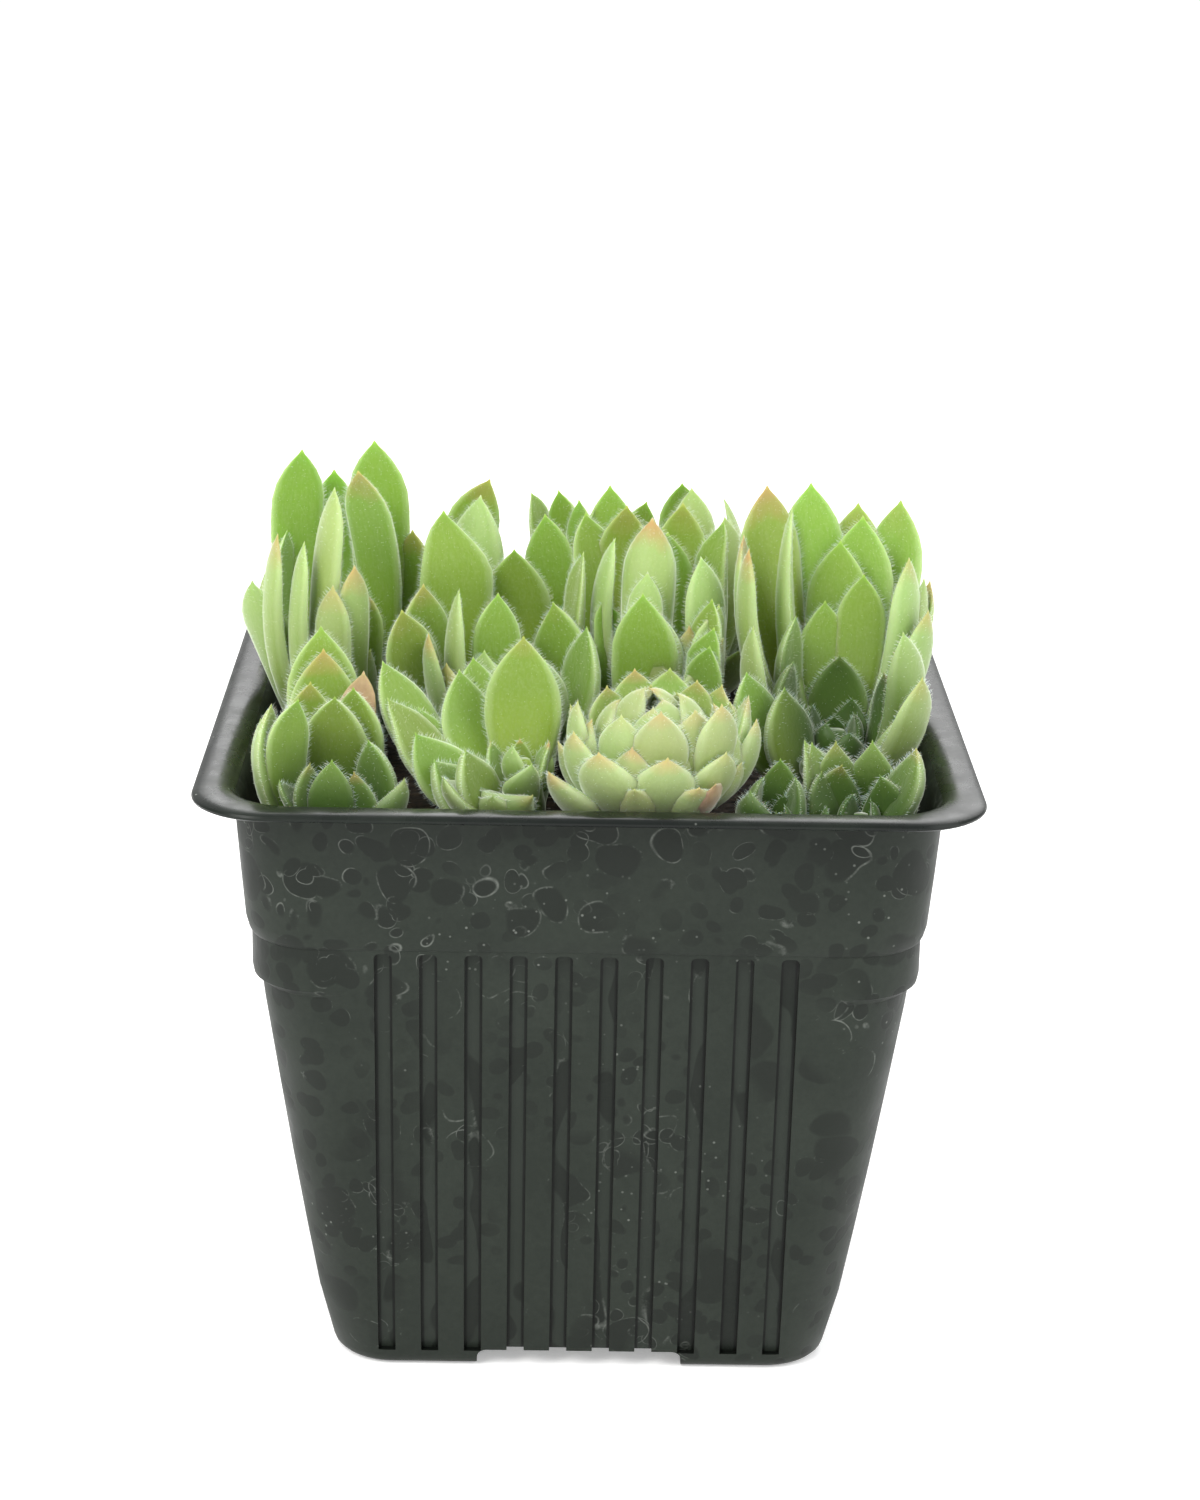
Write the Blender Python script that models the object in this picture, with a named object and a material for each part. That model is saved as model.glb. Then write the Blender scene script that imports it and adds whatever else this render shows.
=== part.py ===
# Hens and chicks: thirteen rosettes of fleshy leaves in a square nursery pot.
# Values are in millimetres and the meshes are made in metres. +Z is up, and the origin is the middle
# of the pot's footprint, on the surface that it stands on. -Y is the front.

import bpy
import bmesh
import math
import random
from mathutils import Vector

MM = 0.001

# Pot
RIM_HALF = 50.0            # half the width over the rim
POT_HEIGHT = 84.3
RIM_CORNER = 10.0          # radius of the rim's corners, seen from above
BODY_CORNER = 9.0
FLOOR = 4.0                # height of the inner floor
LUG_HALF = 43.15           # half width over the corner lugs under the collar
LUG_BOTTOM, LUG_TOP = 57.3, 64.6
LUG_REACH = 34.0           # a lug starts this far from the face's middle
# Height and half width of the middle of the wall that the lugs grow from
LUG_CORE = ((56.0, 41.3), (66.0, 42.5))
CHANNELS = 10              # recessed channels on each face
CHANNEL_PITCH = 5.75
CHANNEL_WIDTH = 2.3
CHANNEL_DEPTH = 0.9
CHANNEL_BOTTOM, CHANNEL_TOP = 2.5, 63.4
FOOT_NOTCH_HALF = 13.8     # half the gap between two feet
FOOT_NOTCH_HEIGHT = 2.7
DRAIN_RADIUS = 3.5
DRAIN_REACH = 20.0

# Soil
GAP = 0.3                  # clearance between neighbouring solids
# distances tried when near points of a rosette are merged
SLIVERS = (0.12, 0.06, 0.03, 0.01, 0.005, 0.002, 0.0003)
SOIL_TOP = 73.0
SOIL_BUMP = 0.35
HOLE_BOTTOM = 62.0
STEM_SIDES = 8

# Leaves
GOLDEN_ANGLE = 137.508
HEART_SHARE = 0.56         # the innermost leaves, too fine for a solid, are one tapered heart
LEAF_DROP = 3.0            # the outermost leaf leaves the stem this far under the crown
LEAF_FLOOR = SOIL_TOP + SOIL_BUMP + 0.5
ROSETTE_GAP = 0.16         # each rosette's own share of the gap to its neighbour
WALL_LEAN = 0.4            # how far leaves may lean over the rim for each unit of height
WALL_REACH = 43.4          # where leaves end at the height of the rim's inner edge
RIM_INNER_HEIGHT = 83.5
SPREAD_LIMIT = 49.8        # nothing reaches past the rim's own width
POT_CORNER = 8.0           # corner radius of the leaves' outer limit

# Half widths of the pot's outside, from the foot to the collar: height, half width, corner radius
BODY = [
    (0.0, 31.6, 7.0), (0.35, 32.9, 7.8), (1.2, 33.5, 8.0), (10.0, 35.4, 8.3), (30.0, 38.45, 8.8),
    (54.0, 41.7, 9.0), (63.2, 42.7, 9.0), (64.4, 43.5, 9.0), (66.0, 43.85, 9.0), (80.0, 44.9, 9.0),
]
# The rim's section, out from the collar, round the thin flat lip and back to the inner wall
RIM = [
    (82.6, 45.2, 9.0), (83.15, 46.1, 9.3), (83.2, 49.3, 9.9), (83.45, 50.0, RIM_CORNER),
    (83.95, 50.0, RIM_CORNER), (84.25, 49.2, 9.8), (POT_HEIGHT, 47.6, 9.6),
    (84.0, 46.0, 9.1), (83.1, 44.75, 8.6),
]
INSIDE = [
    (81.6, 43.95, 8.1), (78.0, 43.4, 7.6), (66.0, 42.1, 7.4), (57.0, 40.6, 7.4), (40.0, 38.05, 7.2),
    (20.0, 35.3, 6.8), (FLOOR, 32.6, 6.0),
]


def rosette(centre, crown, room, count, length, width, spread, bend=22, start=0, lift=(90, 0.0),
            lean=(270, 0), seed=1, inner=0.3, thick=0.26, stem=4.0, height=25, arch=0.92, leaves=(), dry=()):
    # One rosette's own numbers. lift: leaves towards that azimuth are longer by that share.
    # lean: leaves towards that azimuth open by that many degrees more. leaves: the tall outer leaves
    # that give the plant its outline, each as tip x, y, z, width and the azimuth its back faces.
    return dict(centre=centre, crown=crown, room=room, count=count, length=length, width=width,
                spread=spread, bend=bend, start=start, lift=lift, lean=lean, seed=seed,
                inner=inner, thick=thick, stem=stem, height=height, arch=arch, leaves=leaves, dry=dry)


ROSETTES = {
    "chick_front": rosette(
        (8.5, -30.0), 83.5, 14, 22, 12.5, 6.4, 36, 40, 20, (90, 0.0), (270, 6), 1, 0.58, 0.46, 5.0, 15, 0.66,
        leaves=[(1, -43.5, 90.7, 8.4, 245), (9.5, -45, 90.5, 7.8, 272), (8.7, -40, 95.0, 7.4, 268),
                (16.3, -38.5, 95.6, 6.6, 310), (3.8, -38.5, 94.0, 6.6, 250), (-2.1, -38, 91.6, 6.8, 218),
                (-5, -33.5, 89.0, 6.2, 195), (-1.6, -31.5, 93.6, 6.6, 195), (21, -33, 92.0, 6.6, 340),
                (20.6, -27, 93.4, 6.6, 5), (18.5, -21.5, 93.6, 6.4, 40), (13.9, -21, 93.4, 6.6, 65),
                (10.4, -19, 94.4, 7.2, 85), (5.8, -19, 94.2, 7.2, 100), (2.2, -21.5, 92.6, 6.8, 120),
                (7.8, -24, 93.6, 6.6, 95), (-3, -26.5, 91.6, 6.4, 160), (13, -38, 94.6, 6.4, 290),
                (17.0, -40.5, 90.0, 6.6, 305), (-5.5, -40, 87.0, 8.5, 215), (21.5, -39, 87.5, 6.0, 330),
                (5.5, -45.2, 86.0, 7.6, 262), (13.5, -44.6, 86.5, 7.4, 285)],
        dry=[(18.2, -44.5, 86.4, 5.5, 320)]),
    "hen_right": rosette(
        (33, -13), 80.5, 16, 12, 11, 7.0, 48, 20, 95, (85, 0.30), (270, 6), 22, 0.34, height=34,
        leaves=[(24, 8, 112.6, 9.5, 115), (30.3, 12, 112.1, 9.5, 100), (27, 0, 111.4, 6.5, 175),
                (20.6, 0, 107.6, 6.5, 165), (21, -6, 107.3, 6.0, 195), (37.3, 8, 108.5, 10, 70),
                (43, 14, 109.4, 9.5, 55), (37.3, 16, 108.4, 8.5, 80), (43, 0, 104.8, 7.5, 325),
                (45.5, 3, 101.3, 6.5, 335), (37, 0, 102.4, 7.0, 80), (31.9, 0, 98.6, 8.0, 100),
                (27.5, -7, 98.3, 6.5, 150), (21.5, -13, 98.5, 6.5, 200), (46, -3, 98.2, 6.5, 320),
                (41, -16, 98.9, 7.0, 312), (43, -23, 94.9, 6.5, 312), (44, -21, 91.9, 7.5, 310),
                (33.6, -7, 93.0, 8.5, 88), (27, -12, 93.5, 6.5, 150), (25.5, -19, 92.0, 8.5, 130),
                 (20.5, -18.4, 93.8, 8.3, 130),
                (39, -13, 92.5, 6.5, 30), (47, 6, 100, 6.5, 20), (34, 4, 106, 9.0, 75)]),
    "hen_front_left": rosette(
        (-32, -38), 77.0, 10, 6, 9, 5.6, 44, 22, 62, (90, 0.2), (270, 8), 3, 0.5, height=18, stem=3.4,
        leaves=[(-35, -19, 100, 9.5, 95), (-34.4, -25, 97.2, 9.5, 92), (-35.7, -30.5, 95, 7.5, 100),
                (-32.3, -35, 94.6, 9.0, 88), (-40.1, -38, 94.4, 6.5, 160), (-36.7, -38, 95, 6.5, 130),
                (-30.2, -31, 94.2, 8.0, 70), (-35.5, -42, 87.3, 5.5, 140), (-32.4, -41.5, 87.9, 6.0, 90),
                (-29.5, -42, 86.5, 6.0, 70), (-40, -43, 84.8, 4.5, 170), (-42, -31, 90, 6.5, 150),
                (-28, -36, 89, 7.0, 50), (-22.5, -42, 85.0, 8.0, 330), (-25, -27, 86, 8.0, 30)],
        dry=[(-28.4, -27.0, 95.8, 5.0, 80)]),
    "hen_tall_left": rosette(
        (-33, 5), 77.5, 14, 8, 20, 7.4, 36, 22, 20, (105, 0.25), (270, 8), 4, 0.4, height=38,
        leaves=[(-30, 14, 116.5, 8.8, 75), (-40, 14, 115, 7.8, 115), (-36, 20, 111, 7.0, 100),
                (-31.8, 7, 114, 7.5, 60), (-34.5, -1, 113.5, 6.5, 215), (-42, -3, 107.5, 6.0, 200),
                (-38.3, -5, 107, 5.5, 200), (-47.9, 1, 98.8, 7.5, 240), (-34.2, -9, 102, 6.0, 235),
                (-31.2, -6, 104, 5.0, 310), (-29, -1, 99, 7.5, 70), (-24.5, 14, 104, 8.5, 60),
                (-42, 12, 104, 7.0, 160), (-46, 10, 98, 7.0, 170), (-27, -6, 92, 7.5, 320),
                 (-38, -16, 86, 8.5, 250), (-28, -16, 86, 8.5, 290),
                (-38, 19, 88, 8.0, 110), (-27, 20, 90, 8.0, 75)]),
    "hen_open": rosette(
        (-8.5, -35), 83.0, 6, 7, 9, 5.6, 50, 12, 100, (125, 0.1), (100, 0), 105, 0.5, height=20, stem=3.0,
        leaves=[(-26.5, -30, 93, 8.5, 150), (-27, -25, 96.5, 8.5, 140), (-8.7, -26, 100.4, 10.0, 88),
                (-17, -22.5, 94.8, 9.0, 125), (-15.4, -16.5, 95, 8.0, 110), (-15.6, -41, 90.0, 7.5, 150),
                (-19.5, -39, 87.9, 8.5, 160), (-18.2, -43, 86.5, 7.0, 200), (-22, -36.5, 90.6, 8.0, 130),
                (-2.3, -16, 91.3, 9.0, 60), (-4.5, -43.5, 84.6, 8.5, 270), (-12, -43.5, 84.4, 8.0, 250),
                (-22, -27, 91, 8.0, 140)]),
    "hen_centre": rosette(
        (-11, 3), 77.5, 15, 10, 15, 7.4, 52, 18, 10, (95, 0.2), (270, 6), 26, 0.4, height=28,
        leaves=[(-21.4, -12, 96.6, 6.0, 200), (-17.5, -8, 101.6, 7.0, 190), (-22.5, -3, 100.8, 8.5, 125),
                (-12.4, -6, 100.6, 7.0, 110), (-5, 0, 97.8, 9.5, 60), (-0.5, -8, 96.6, 9.0, 30),
                (-22.6, 8, 108.4, 10.5, 105), (-18.6, 10, 104.3, 6.5, 130), (-16.5, 7, 103.7, 9.5, 110),
                (-10.5, 9, 102.8, 10.5, 90), (1.3, 4, 103.8, 6.0, 20), (-6, -12, 93, 8.5, 290),
                (-14, -12, 94, 8.0, 240), (-25, -11, 99.0, 8.0, 120), (-19, -12, 92, 8.0, 230),
                (-17, -19, 86, 8.5, 250), (-7, -19, 86, 8.5, 280), (-17, 19, 88, 8.5, 110),
                (-6, 19, 88, 8.0, 75)]),
    "hen_back": rosette(
        (9, 3), 77.5, 15, 6, 14, 7.0, 46, 22, 30, (90, 0.15), (270, 6), 27, 0.4, height=30,
        leaves=[(-3, 13, 106.9, 9.5, 120), (6.4, -9, 101.6, 9.0, 88), (9.5, -7, 98.3, 6.5, 260),
                (13.3, -6, 96.5, 6.5, 290), (2.7, 20, 109.4, 8.0, 110), (0.7, 19, 106, 5.5, 130),
                (8.3, 4, 108.8, 7.5, 260), (2.2, 3, 106, 7.0, 190), (7.6, -3, 103, 5.0, 265),
                (15.1, -2, 105, 7.0, 310), (10.7, 13, 104.3, 7.5, 90), (18.3, -7, 99.8, 6.0, 310),
                (18.8, -10, 96, 6.0, 320), (16.8, -8, 100.6, 6.5, 40), (17.2, -12, 98.0, 6.0, 50),
                (15.8, -14, 96.0, 6.0, 60), (20, 14, 106, 8.0, 30), (13, 20, 107, 8.0, 80),
                (15, -11, 93, 7.0, 300), (-1, 0, 98, 8.0, 100), (5, 14, 108, 8.0, 95),
                (4, -17, 86, 8.5, 260), (13, -17, 86, 8.5, 285), (17, 19, 92, 8.0, 60)]),
    "hen_back_left": rosette(
        (-12, 32), 77.5, 12, 14, 21, 8.2, 64, 20, 0, (90, 0.05), (270, 4), 8, 0.36, height=28,
        leaves=[(-14.5, 32, 107.2, 8.0, 100), (-15.6, 25, 106.4, 9.5, 240), (-8.4, 34, 104.8, 6.0, 150),
                (-6.4, 26, 103.6, 8.0, 70), (-4.5, 34, 105.2, 6.0, 60), (-1.2, 31, 104.6, 6.0, 45)]),
    "hen_back_right": rosette(
        (36, 33), 77.5, 12, 18, 24, 8.6, 62, 24, 0, (60, 0.0), (270, 4), 11, height=28),
    "hen_far_left": rosette(
        (-34, 35), 77.5, 12, 18, 21, 8.6, 64, 26, 0, (120, 0.0), (270, 0), 12, height=22),
    "hen_far_back": rosette(
        (13, 35), 77.5, 11, 12, 21, 8.0, 64, 20, 0, (120, 0.0), (270, 0), 13, 0.36, height=28,
        leaves=[(4.1, 31, 103.6, 8.0, 150), (8.3, 37, 103, 7.5, 110), (13.5, 39, 105.3, 7.0, 90),
                (14.5, 28, 107.3, 6.5, 265), (19.4, 34, 104.5, 6.5, 0), (19.3, 27, 103.4, 6.5, 300)]),
    "chick_front_right": rosette(
        (23.3, -39.0), 77.0, 7, 11, 9.0, 5.4, 46, 24, 0, (90, 0.25), (270, 8), 49, 0.45, 0.3, 2.6, 10,
        leaves=[(24.5, -34.5, 87.3, 5.5, 90), (21.5, -38, 86.0, 5.0, 160), (27, -38, 86.0, 5.5, 20),
                (19.3, -43.5, 84.5, 6.5, 230)]),
    "chick_corner": rosette(
        (34.5, -37.0), 77.0, 10, 9, 9.0, 6.4, 46, 24, 0, (90, 0.2), (270, 8), 10, 0.45, 0.3, 3.0, 12,
        leaves=[(36, -29.5, 88.8, 8.5, 80), (31.3, -29.5, 88.6, 8.0, 105), (27, -29, 88.2, 7.5, 130),
                (32, -34.5, 86.0, 7.0, 95), (28.8, -35, 85.4, 7.0, 130), (37, -37, 85.9, 7.0, 60),
                (42.4, -38, 88.4, 8.0, 20), (24.4, -27, 89.3, 6.5, 140)]),
}


def rounded_square(half, radius, height, arc_points=4):
    # One ring of the pot: four corner arcs joined by straight sides, counterclockwise from above
    points = []
    for corner in range(4):
        turn = corner * math.pi / 2
        sx, sy = math.cos(turn + math.pi / 4), math.sin(turn + math.pi / 4)
        cx = math.copysign(half - radius, sx)
        cy = math.copysign(half - radius, sy)
        for i in range(arc_points):
            angle = turn + (math.pi / 2) * i / (arc_points - 1)
            points.append(Vector((cx + radius * math.cos(angle), cy + radius * math.sin(angle), height)) * MM)
    return points


def loft(name, rings, collection):
    # A closed solid through rings of equally many points, with a flat face on each end
    mesh = bmesh.new()
    rows = [[mesh.verts.new(point) for point in ring] for ring in rings]
    count = len(rings[0])
    for low, high in zip(rows, rows[1:]):
        for i in range(count):
            j = (i + 1) % count
            mesh.faces.new((low[i], low[j], high[j], high[i]))
    mesh.faces.new(rows[0][::-1])
    mesh.faces.new(rows[-1])
    return as_object(name, mesh, collection)


def as_object(name, mesh, collection):
    data = bpy.data.meshes.new(name)
    mesh.to_mesh(data)
    mesh.free()
    obj = bpy.data.objects.new(name, data)
    collection.objects.link(obj)
    return obj


def box(name, low, high, collection):
    mesh = bmesh.new()
    bmesh.ops.create_cube(mesh, size=1.0)
    for vertex in mesh.verts:
        for axis in range(3):
            middle, span = (low[axis] + high[axis]) / 2, high[axis] - low[axis]
            vertex.co[axis] = (middle + vertex.co[axis] * span) * MM
    return as_object(name, mesh, collection)


def post(name, x, y, low, high, radius_low, radius_high, collection, sides=STEM_SIDES):
    mesh = bmesh.new()
    bmesh.ops.create_cone(mesh, cap_ends=True, segments=sides, radius1=radius_low * MM,
                          radius2=radius_high * MM, depth=(high - low) * MM)
    for vertex in mesh.verts:
        vertex.co += Vector((x, y, (low + high) / 2)) * MM
    return as_object(name, mesh, collection)


def boolean(obj, operation, collection, solver="EXACT"):
    # Joins or cuts obj with everything in a collection, then empties the collection
    modifier = obj.modifiers.new(operation.title(), "BOOLEAN")
    modifier.operation = operation
    modifier.operand_type = "COLLECTION"
    modifier.collection = collection
    modifier.solver = solver
    apply_modifiers(obj)
    for cutter in list(collection.objects):
        bpy.data.objects.remove(cutter)
    bpy.data.collections.remove(collection)


def apply_modifiers(obj):
    graph = bpy.context.evaluated_depsgraph_get()
    data = bpy.data.meshes.new_from_object(obj.evaluated_get(graph))
    obj.modifiers.clear()
    obj.data = data
    obj.data.name = obj.name


def one_fan(vertex):
    # Whether the faces round a point hang together, each sharing an edge with the next
    faces = set(vertex.link_faces)
    queue = [faces.pop()]
    while queue:
        near = {other for edge in queue.pop().edges for other in edge.link_faces if other in faces}
        faces -= near
        queue.extend(near)
    return not faces


def without_slivers(data):
    # Merges points that nearly meet, by the largest distance that leaves the surface closed
    for distance in SLIVERS:
        mesh = bmesh.new()
        mesh.from_mesh(data)
        bmesh.ops.triangulate(mesh, faces=mesh.faces)
        bmesh.ops.remove_doubles(mesh, verts=mesh.verts, dist=distance * MM)
        closed = all(len(edge.link_faces) == 2 for edge in mesh.edges)
        if closed and all(one_fan(vertex) for vertex in mesh.verts):
            return mesh
        mesh.free()
    raise RuntimeError(f"{data.name} has no closed surface")


def keep_outer_shell(obj):
    # Fills the hollows that fusing sealed and drops loose scraps: only the largest shell stays
    mesh = without_slivers(obj.data)
    unseen = set(mesh.faces)
    shells = []
    while unseen:
        shell, queue = [], [unseen.pop()]
        while queue:
            face = queue.pop()
            shell.append(face)
            near = {other for edge in face.edges for other in edge.link_faces if other in unseen}
            unseen -= near
            queue.extend(near)
        shells.append(shell)
    shells.sort(key=len)
    loose = [vertex for shell in shells[:-1] for face in shell for vertex in face.verts]
    bmesh.ops.delete(mesh, geom=list(set(loose)), context="VERTS")
    mesh.to_mesh(obj.data)
    mesh.free()


def helper_collection(name):
    collection = bpy.data.collections.new(name)
    bpy.context.scene.collection.children.link(collection)
    return collection


def material(name, colour, roughness):
    made = bpy.data.materials.new(name)
    made.use_nodes = True
    shader = made.node_tree.nodes["Principled BSDF"]
    shader.inputs["Base Color"].default_value = (*colour, 1.0)
    shader.inputs["Roughness"].default_value = roughness
    shader.inputs["Metallic"].default_value = 0.0
    return made


def half_width_at(height):
    # Half width of the pot's outer face between the foot and the collar
    for (low, a, _), (high, b, _) in zip(BODY, BODY[1:]):
        if low <= height <= high:
            return a + (b - a) * (height - low) / (high - low)
    return BODY[-1][1]


def channel_cutter(name, turn, offset, collection):
    # A strip that follows the sloping wall, cut CHANNEL_DEPTH into it
    heights = [CHANNEL_BOTTOM, 30.0, CHANNEL_TOP - 1.0]
    profile = [(half_width_at(z) - CHANNEL_DEPTH, z) for z in heights]
    profile.append((half_width_at(CHANNEL_TOP) + 0.3, CHANNEL_TOP))
    profile += [(LUG_HALF + 5.0, CHANNEL_TOP), (LUG_HALF + 5.0, CHANNEL_BOTTOM)]
    mesh = bmesh.new()
    sides = []
    for side in (-1, 1):
        along = offset + side * CHANNEL_WIDTH / 2
        corners = [Vector((reach * math.cos(turn) - along * math.sin(turn),
                           reach * math.sin(turn) + along * math.cos(turn), z)) * MM for reach, z in profile]
        sides.append([mesh.verts.new(corner) for corner in corners])
    near, far = sides
    mesh.faces.new(near)
    mesh.faces.new(far[::-1])
    for i in range(len(profile)):
        j = (i + 1) % len(profile)
        mesh.faces.new((near[j], near[i], far[i], far[j]))
    bmesh.ops.recalc_face_normals(mesh, faces=mesh.faces)
    as_object(name, mesh, collection)


def make_lugs(collection):
    # Four thin corner shells under the collar, left over when the middle of each face is cut away
    ring = loft("lugs", [rounded_square(LUG_HALF, BODY_CORNER, z) for z in (LUG_BOTTOM, LUG_TOP)], collection)
    cutters = helper_collection("lug_cutters")
    loft("lug_core", [rounded_square(half, BODY_CORNER - 1.0, z) for z, half in LUG_CORE], cutters)
    far = LUG_HALF + 2
    box("lug_gap_x", (-far, -LUG_REACH, LUG_BOTTOM - 2), (far, LUG_REACH, LUG_TOP + 2), cutters)
    boolean(ring, "DIFFERENCE", cutters)
    cutters = helper_collection("lug_cutters_y")
    box("lug_gap_y", (-LUG_REACH, -far, LUG_BOTTOM - 2), (LUG_REACH, far, LUG_TOP + 2), cutters)
    boolean(ring, "DIFFERENCE", cutters)
    return ring


def make_pot(collection, finish):
    rings = [rounded_square(half, radius, z) for z, half, radius in BODY + RIM + INSIDE]
    pot = loft("pot", rings, collection)
    lugs = helper_collection("lugs_to_join")
    make_lugs(lugs)
    boolean(pot, "UNION", lugs)
    cutters = helper_collection("pot_cutters")
    for face in range(4):
        for i in range(CHANNELS):
            offset = (i - (CHANNELS - 1) / 2) * CHANNEL_PITCH
            channel_cutter(f"channel_{face}_{i}", face * math.pi / 2, offset, cutters)
    boolean(pot, "DIFFERENCE", cutters)
    cutters = helper_collection("foot_cutters_x")
    far = RIM_HALF
    box("notch_x", (-far, -FOOT_NOTCH_HALF, -1), (far, FOOT_NOTCH_HALF, FOOT_NOTCH_HEIGHT), cutters)
    boolean(pot, "DIFFERENCE", cutters)
    cutters = helper_collection("foot_cutters_y")
    box("notch_y", (-FOOT_NOTCH_HALF, -far, -1), (FOOT_NOTCH_HALF, far, FOOT_NOTCH_HEIGHT), cutters)
    boolean(pot, "DIFFERENCE", cutters)
    cutters = helper_collection("drain_cutters")
    for x, y in [(0, 0), (DRAIN_REACH, 0), (-DRAIN_REACH, 0), (0, DRAIN_REACH), (0, -DRAIN_REACH)]:
        post(f"drain_{x}_{y}", x, y, 0.0, FLOOR + 2, DRAIN_RADIUS, DRAIN_RADIUS, cutters, 16)
    boolean(pot, "DIFFERENCE", cutters)
    pot.data.materials.clear()
    pot.data.materials.append(finish)
    pot.data.shade_smooth()
    pot.data.set_sharp_from_angle(angle=math.radians(28))
    return pot


def soil_height(x, y):
    # Small rounded lumps on the top of the potting mix
    return SOIL_TOP + SOIL_BUMP * math.sin(x * 0.55 + 1.3) * math.cos(y * 0.48 + 0.4)


def make_soil(collection, finish):
    rings = []
    for z, half, radius in reversed(INSIDE):
        if z < SOIL_TOP:
            rings.append(rounded_square(half - GAP, radius - GAP, max(z, FLOOR + GAP)))
    top_half = 43.4 + (42.1 - 43.4) * (78.0 - SOIL_TOP) / 12.0 - GAP
    for share in (1.0, 0.8, 0.55, 0.25):
        ring = rounded_square(top_half * share, 7.2 * share, SOIL_TOP)
        if share < 1.0:
            for point in ring:
                point.z = soil_height(point.x / MM, point.y / MM) * MM
        rings.append(ring)
    soil = loft("soil", rings, collection)
    cutters = helper_collection("stem_holes")
    for name, plan in ROSETTES.items():
        x, y = plan["centre"]
        radius = plan["stem"] + GAP
        post(f"hole_{name}", x, y, HOLE_BOTTOM, SOIL_TOP + 3, radius, radius, cutters)
    boolean(soil, "DIFFERENCE", cutters)
    soil.data.materials.clear()
    soil.data.materials.append(finish)
    return soil


# Where two rosettes meet: how far from the first one's centre, and how far that limit is turned, in
# degrees, so that no straight slit shows from the front. Others meet in the ratio of their rooms.
BORDERS = {
    ("hen_front_left", "hen_open"): (9.0, 16),
    ("hen_front_left", "hen_tall_left"): (21.0, 0),
    ("hen_tall_left", "hen_centre"): (7.0, -20),
    ("hen_tall_left", "hen_open"): (24.0, 0),
    ("hen_open", "hen_centre"): (20.0, 0),
    ("hen_open", "hen_back"): (21.0, 0),
    ("hen_open", "chick_front"): (3.6, -29),
    ("hen_centre", "hen_back"): (11.0, 14),
    ("chick_front", "hen_back"): (14.5, 0),
    ("chick_corner", "hen_right"): (8.5, 0),
    ("chick_front", "chick_front_right"): (12.5, 0),
    ("hen_back", "hen_right"): (12.0, 29),
    ("hen_right", "hen_back_right"): (31.0, 0),
    ("hen_far_back", "hen_back_right"): (12.0, 24),
}


def cell_planes(name):
    # The flat limits that keep one rosette off its neighbours, the pot and the soil.
    # Each is a direction and a distance: a point inside has direction . point <= distance.
    # A taller rosette leans out over a lower one, so the limit between them slopes.
    mine = ROSETTES[name]
    cx, cy = mine["centre"]
    planes = []
    for other_name, other in ROSETTES.items():
        if other_name == name:
            continue
        dx, dy = other["centre"][0] - cx, other["centre"][1] - cy
        distance = math.hypot(dx, dy)
        by_room = distance * mine["room"] / (mine["room"] + other["room"])
        share, turn = BORDERS.get((name, other_name), (by_room, 0))
        if (other_name, name) in BORDERS:
            share, turn = distance - BORDERS[other_name, name][0], BORDERS[other_name, name][1]
        slope = 0.5 * (other["height"] - mine["height"]) / (other["height"] + mine["height"])
        way = Vector((dx / distance, dy / distance, 0))
        meeting = Vector((cx, cy, (mine["crown"] + other["crown"]) / 2)) + way * share
        c, s = math.cos(math.radians(turn)), math.sin(math.radians(turn))
        normal = Vector((way.x * c - way.y * s, way.x * s + way.y * c, slope))
        length = normal.length
        planes.append((normal / length, (normal.dot(meeting) - ROSETTE_GAP) / length))
    arc = WALL_REACH - POT_CORNER
    for i in range(16):
        angle = i * math.pi / 8
        c, s = math.cos(angle), math.sin(angle)
        rim = arc * (abs(c) + abs(s)) + POT_CORNER
        normal = Vector((c, s, -WALL_LEAN))
        planes.append((normal.normalized(), (rim - WALL_LEAN * RIM_INNER_HEIGHT) / normal.length))
        if i % 4 == 0:
            planes.append((Vector((c, s, 0)), SPREAD_LIMIT))
    planes.append((Vector((0, 0, -1)), -LEAF_FLOOR))
    return planes


def rule_leaves(name):
    # Leaves on the golden angle, from the innermost to the outermost, each as its root, tip, the azimuth
    # its back faces, its width, thickness and how its two ends lean from upright
    plan = ROSETTES[name]
    draw = random.Random(plan["seed"])
    cx, cy = plan["centre"]
    for i in range(plan["count"]):
        age = (i + 0.5) / plan["count"]
        jitter = [draw.uniform(-1, 1) for _ in range(4)]
        azimuth = math.radians(plan["start"] + i * GOLDEN_ANGLE + 5 * jitter[0])
        towards = math.cos(azimuth - math.radians(plan["lift"][0]))
        grown = plan["inner"] + (1 - plan["inner"]) * age ** 0.8
        length = plan["length"] * grown * (1 + plan["lift"][1] * towards * age) * (1 + 0.07 * jitter[1])
        width = plan["width"] * (0.45 + 0.55 * age ** 0.6) * (1 + 0.06 * jitter[2])
        leaning = plan["lean"][1] * math.cos(azimuth - math.radians(plan["lean"][0]))
        mean = math.radians(6 + (plan["spread"] - 6) * age + leaning + 4 * jitter[3])
        bend = math.radians(plan["bend"])
        out = Vector((math.cos(azimuth), math.sin(azimuth), 0))
        root = Vector((cx, cy, plan["crown"] + 1.5 - (LEAF_DROP + 1.5) * age))
        root += out * plan["stem"] * (0.2 + 0.6 * age)
        tip = root + length * (out * math.sin(mean) + Vector((0, 0, math.cos(mean))))
        lean_root = min(math.radians(78), mean + bend * (0.7 + 0.6 * age))
        lean_tip = mean - bend
        if age < HEART_SHARE:
            continue
        yield dict(root=root, tip=tip, azimuth=azimuth, width=width, thick=plan["thick"] * width + 0.4,
                   lean_root=lean_root, lean_tip=lean_tip, arch=plan["arch"], toward=out)


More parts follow.
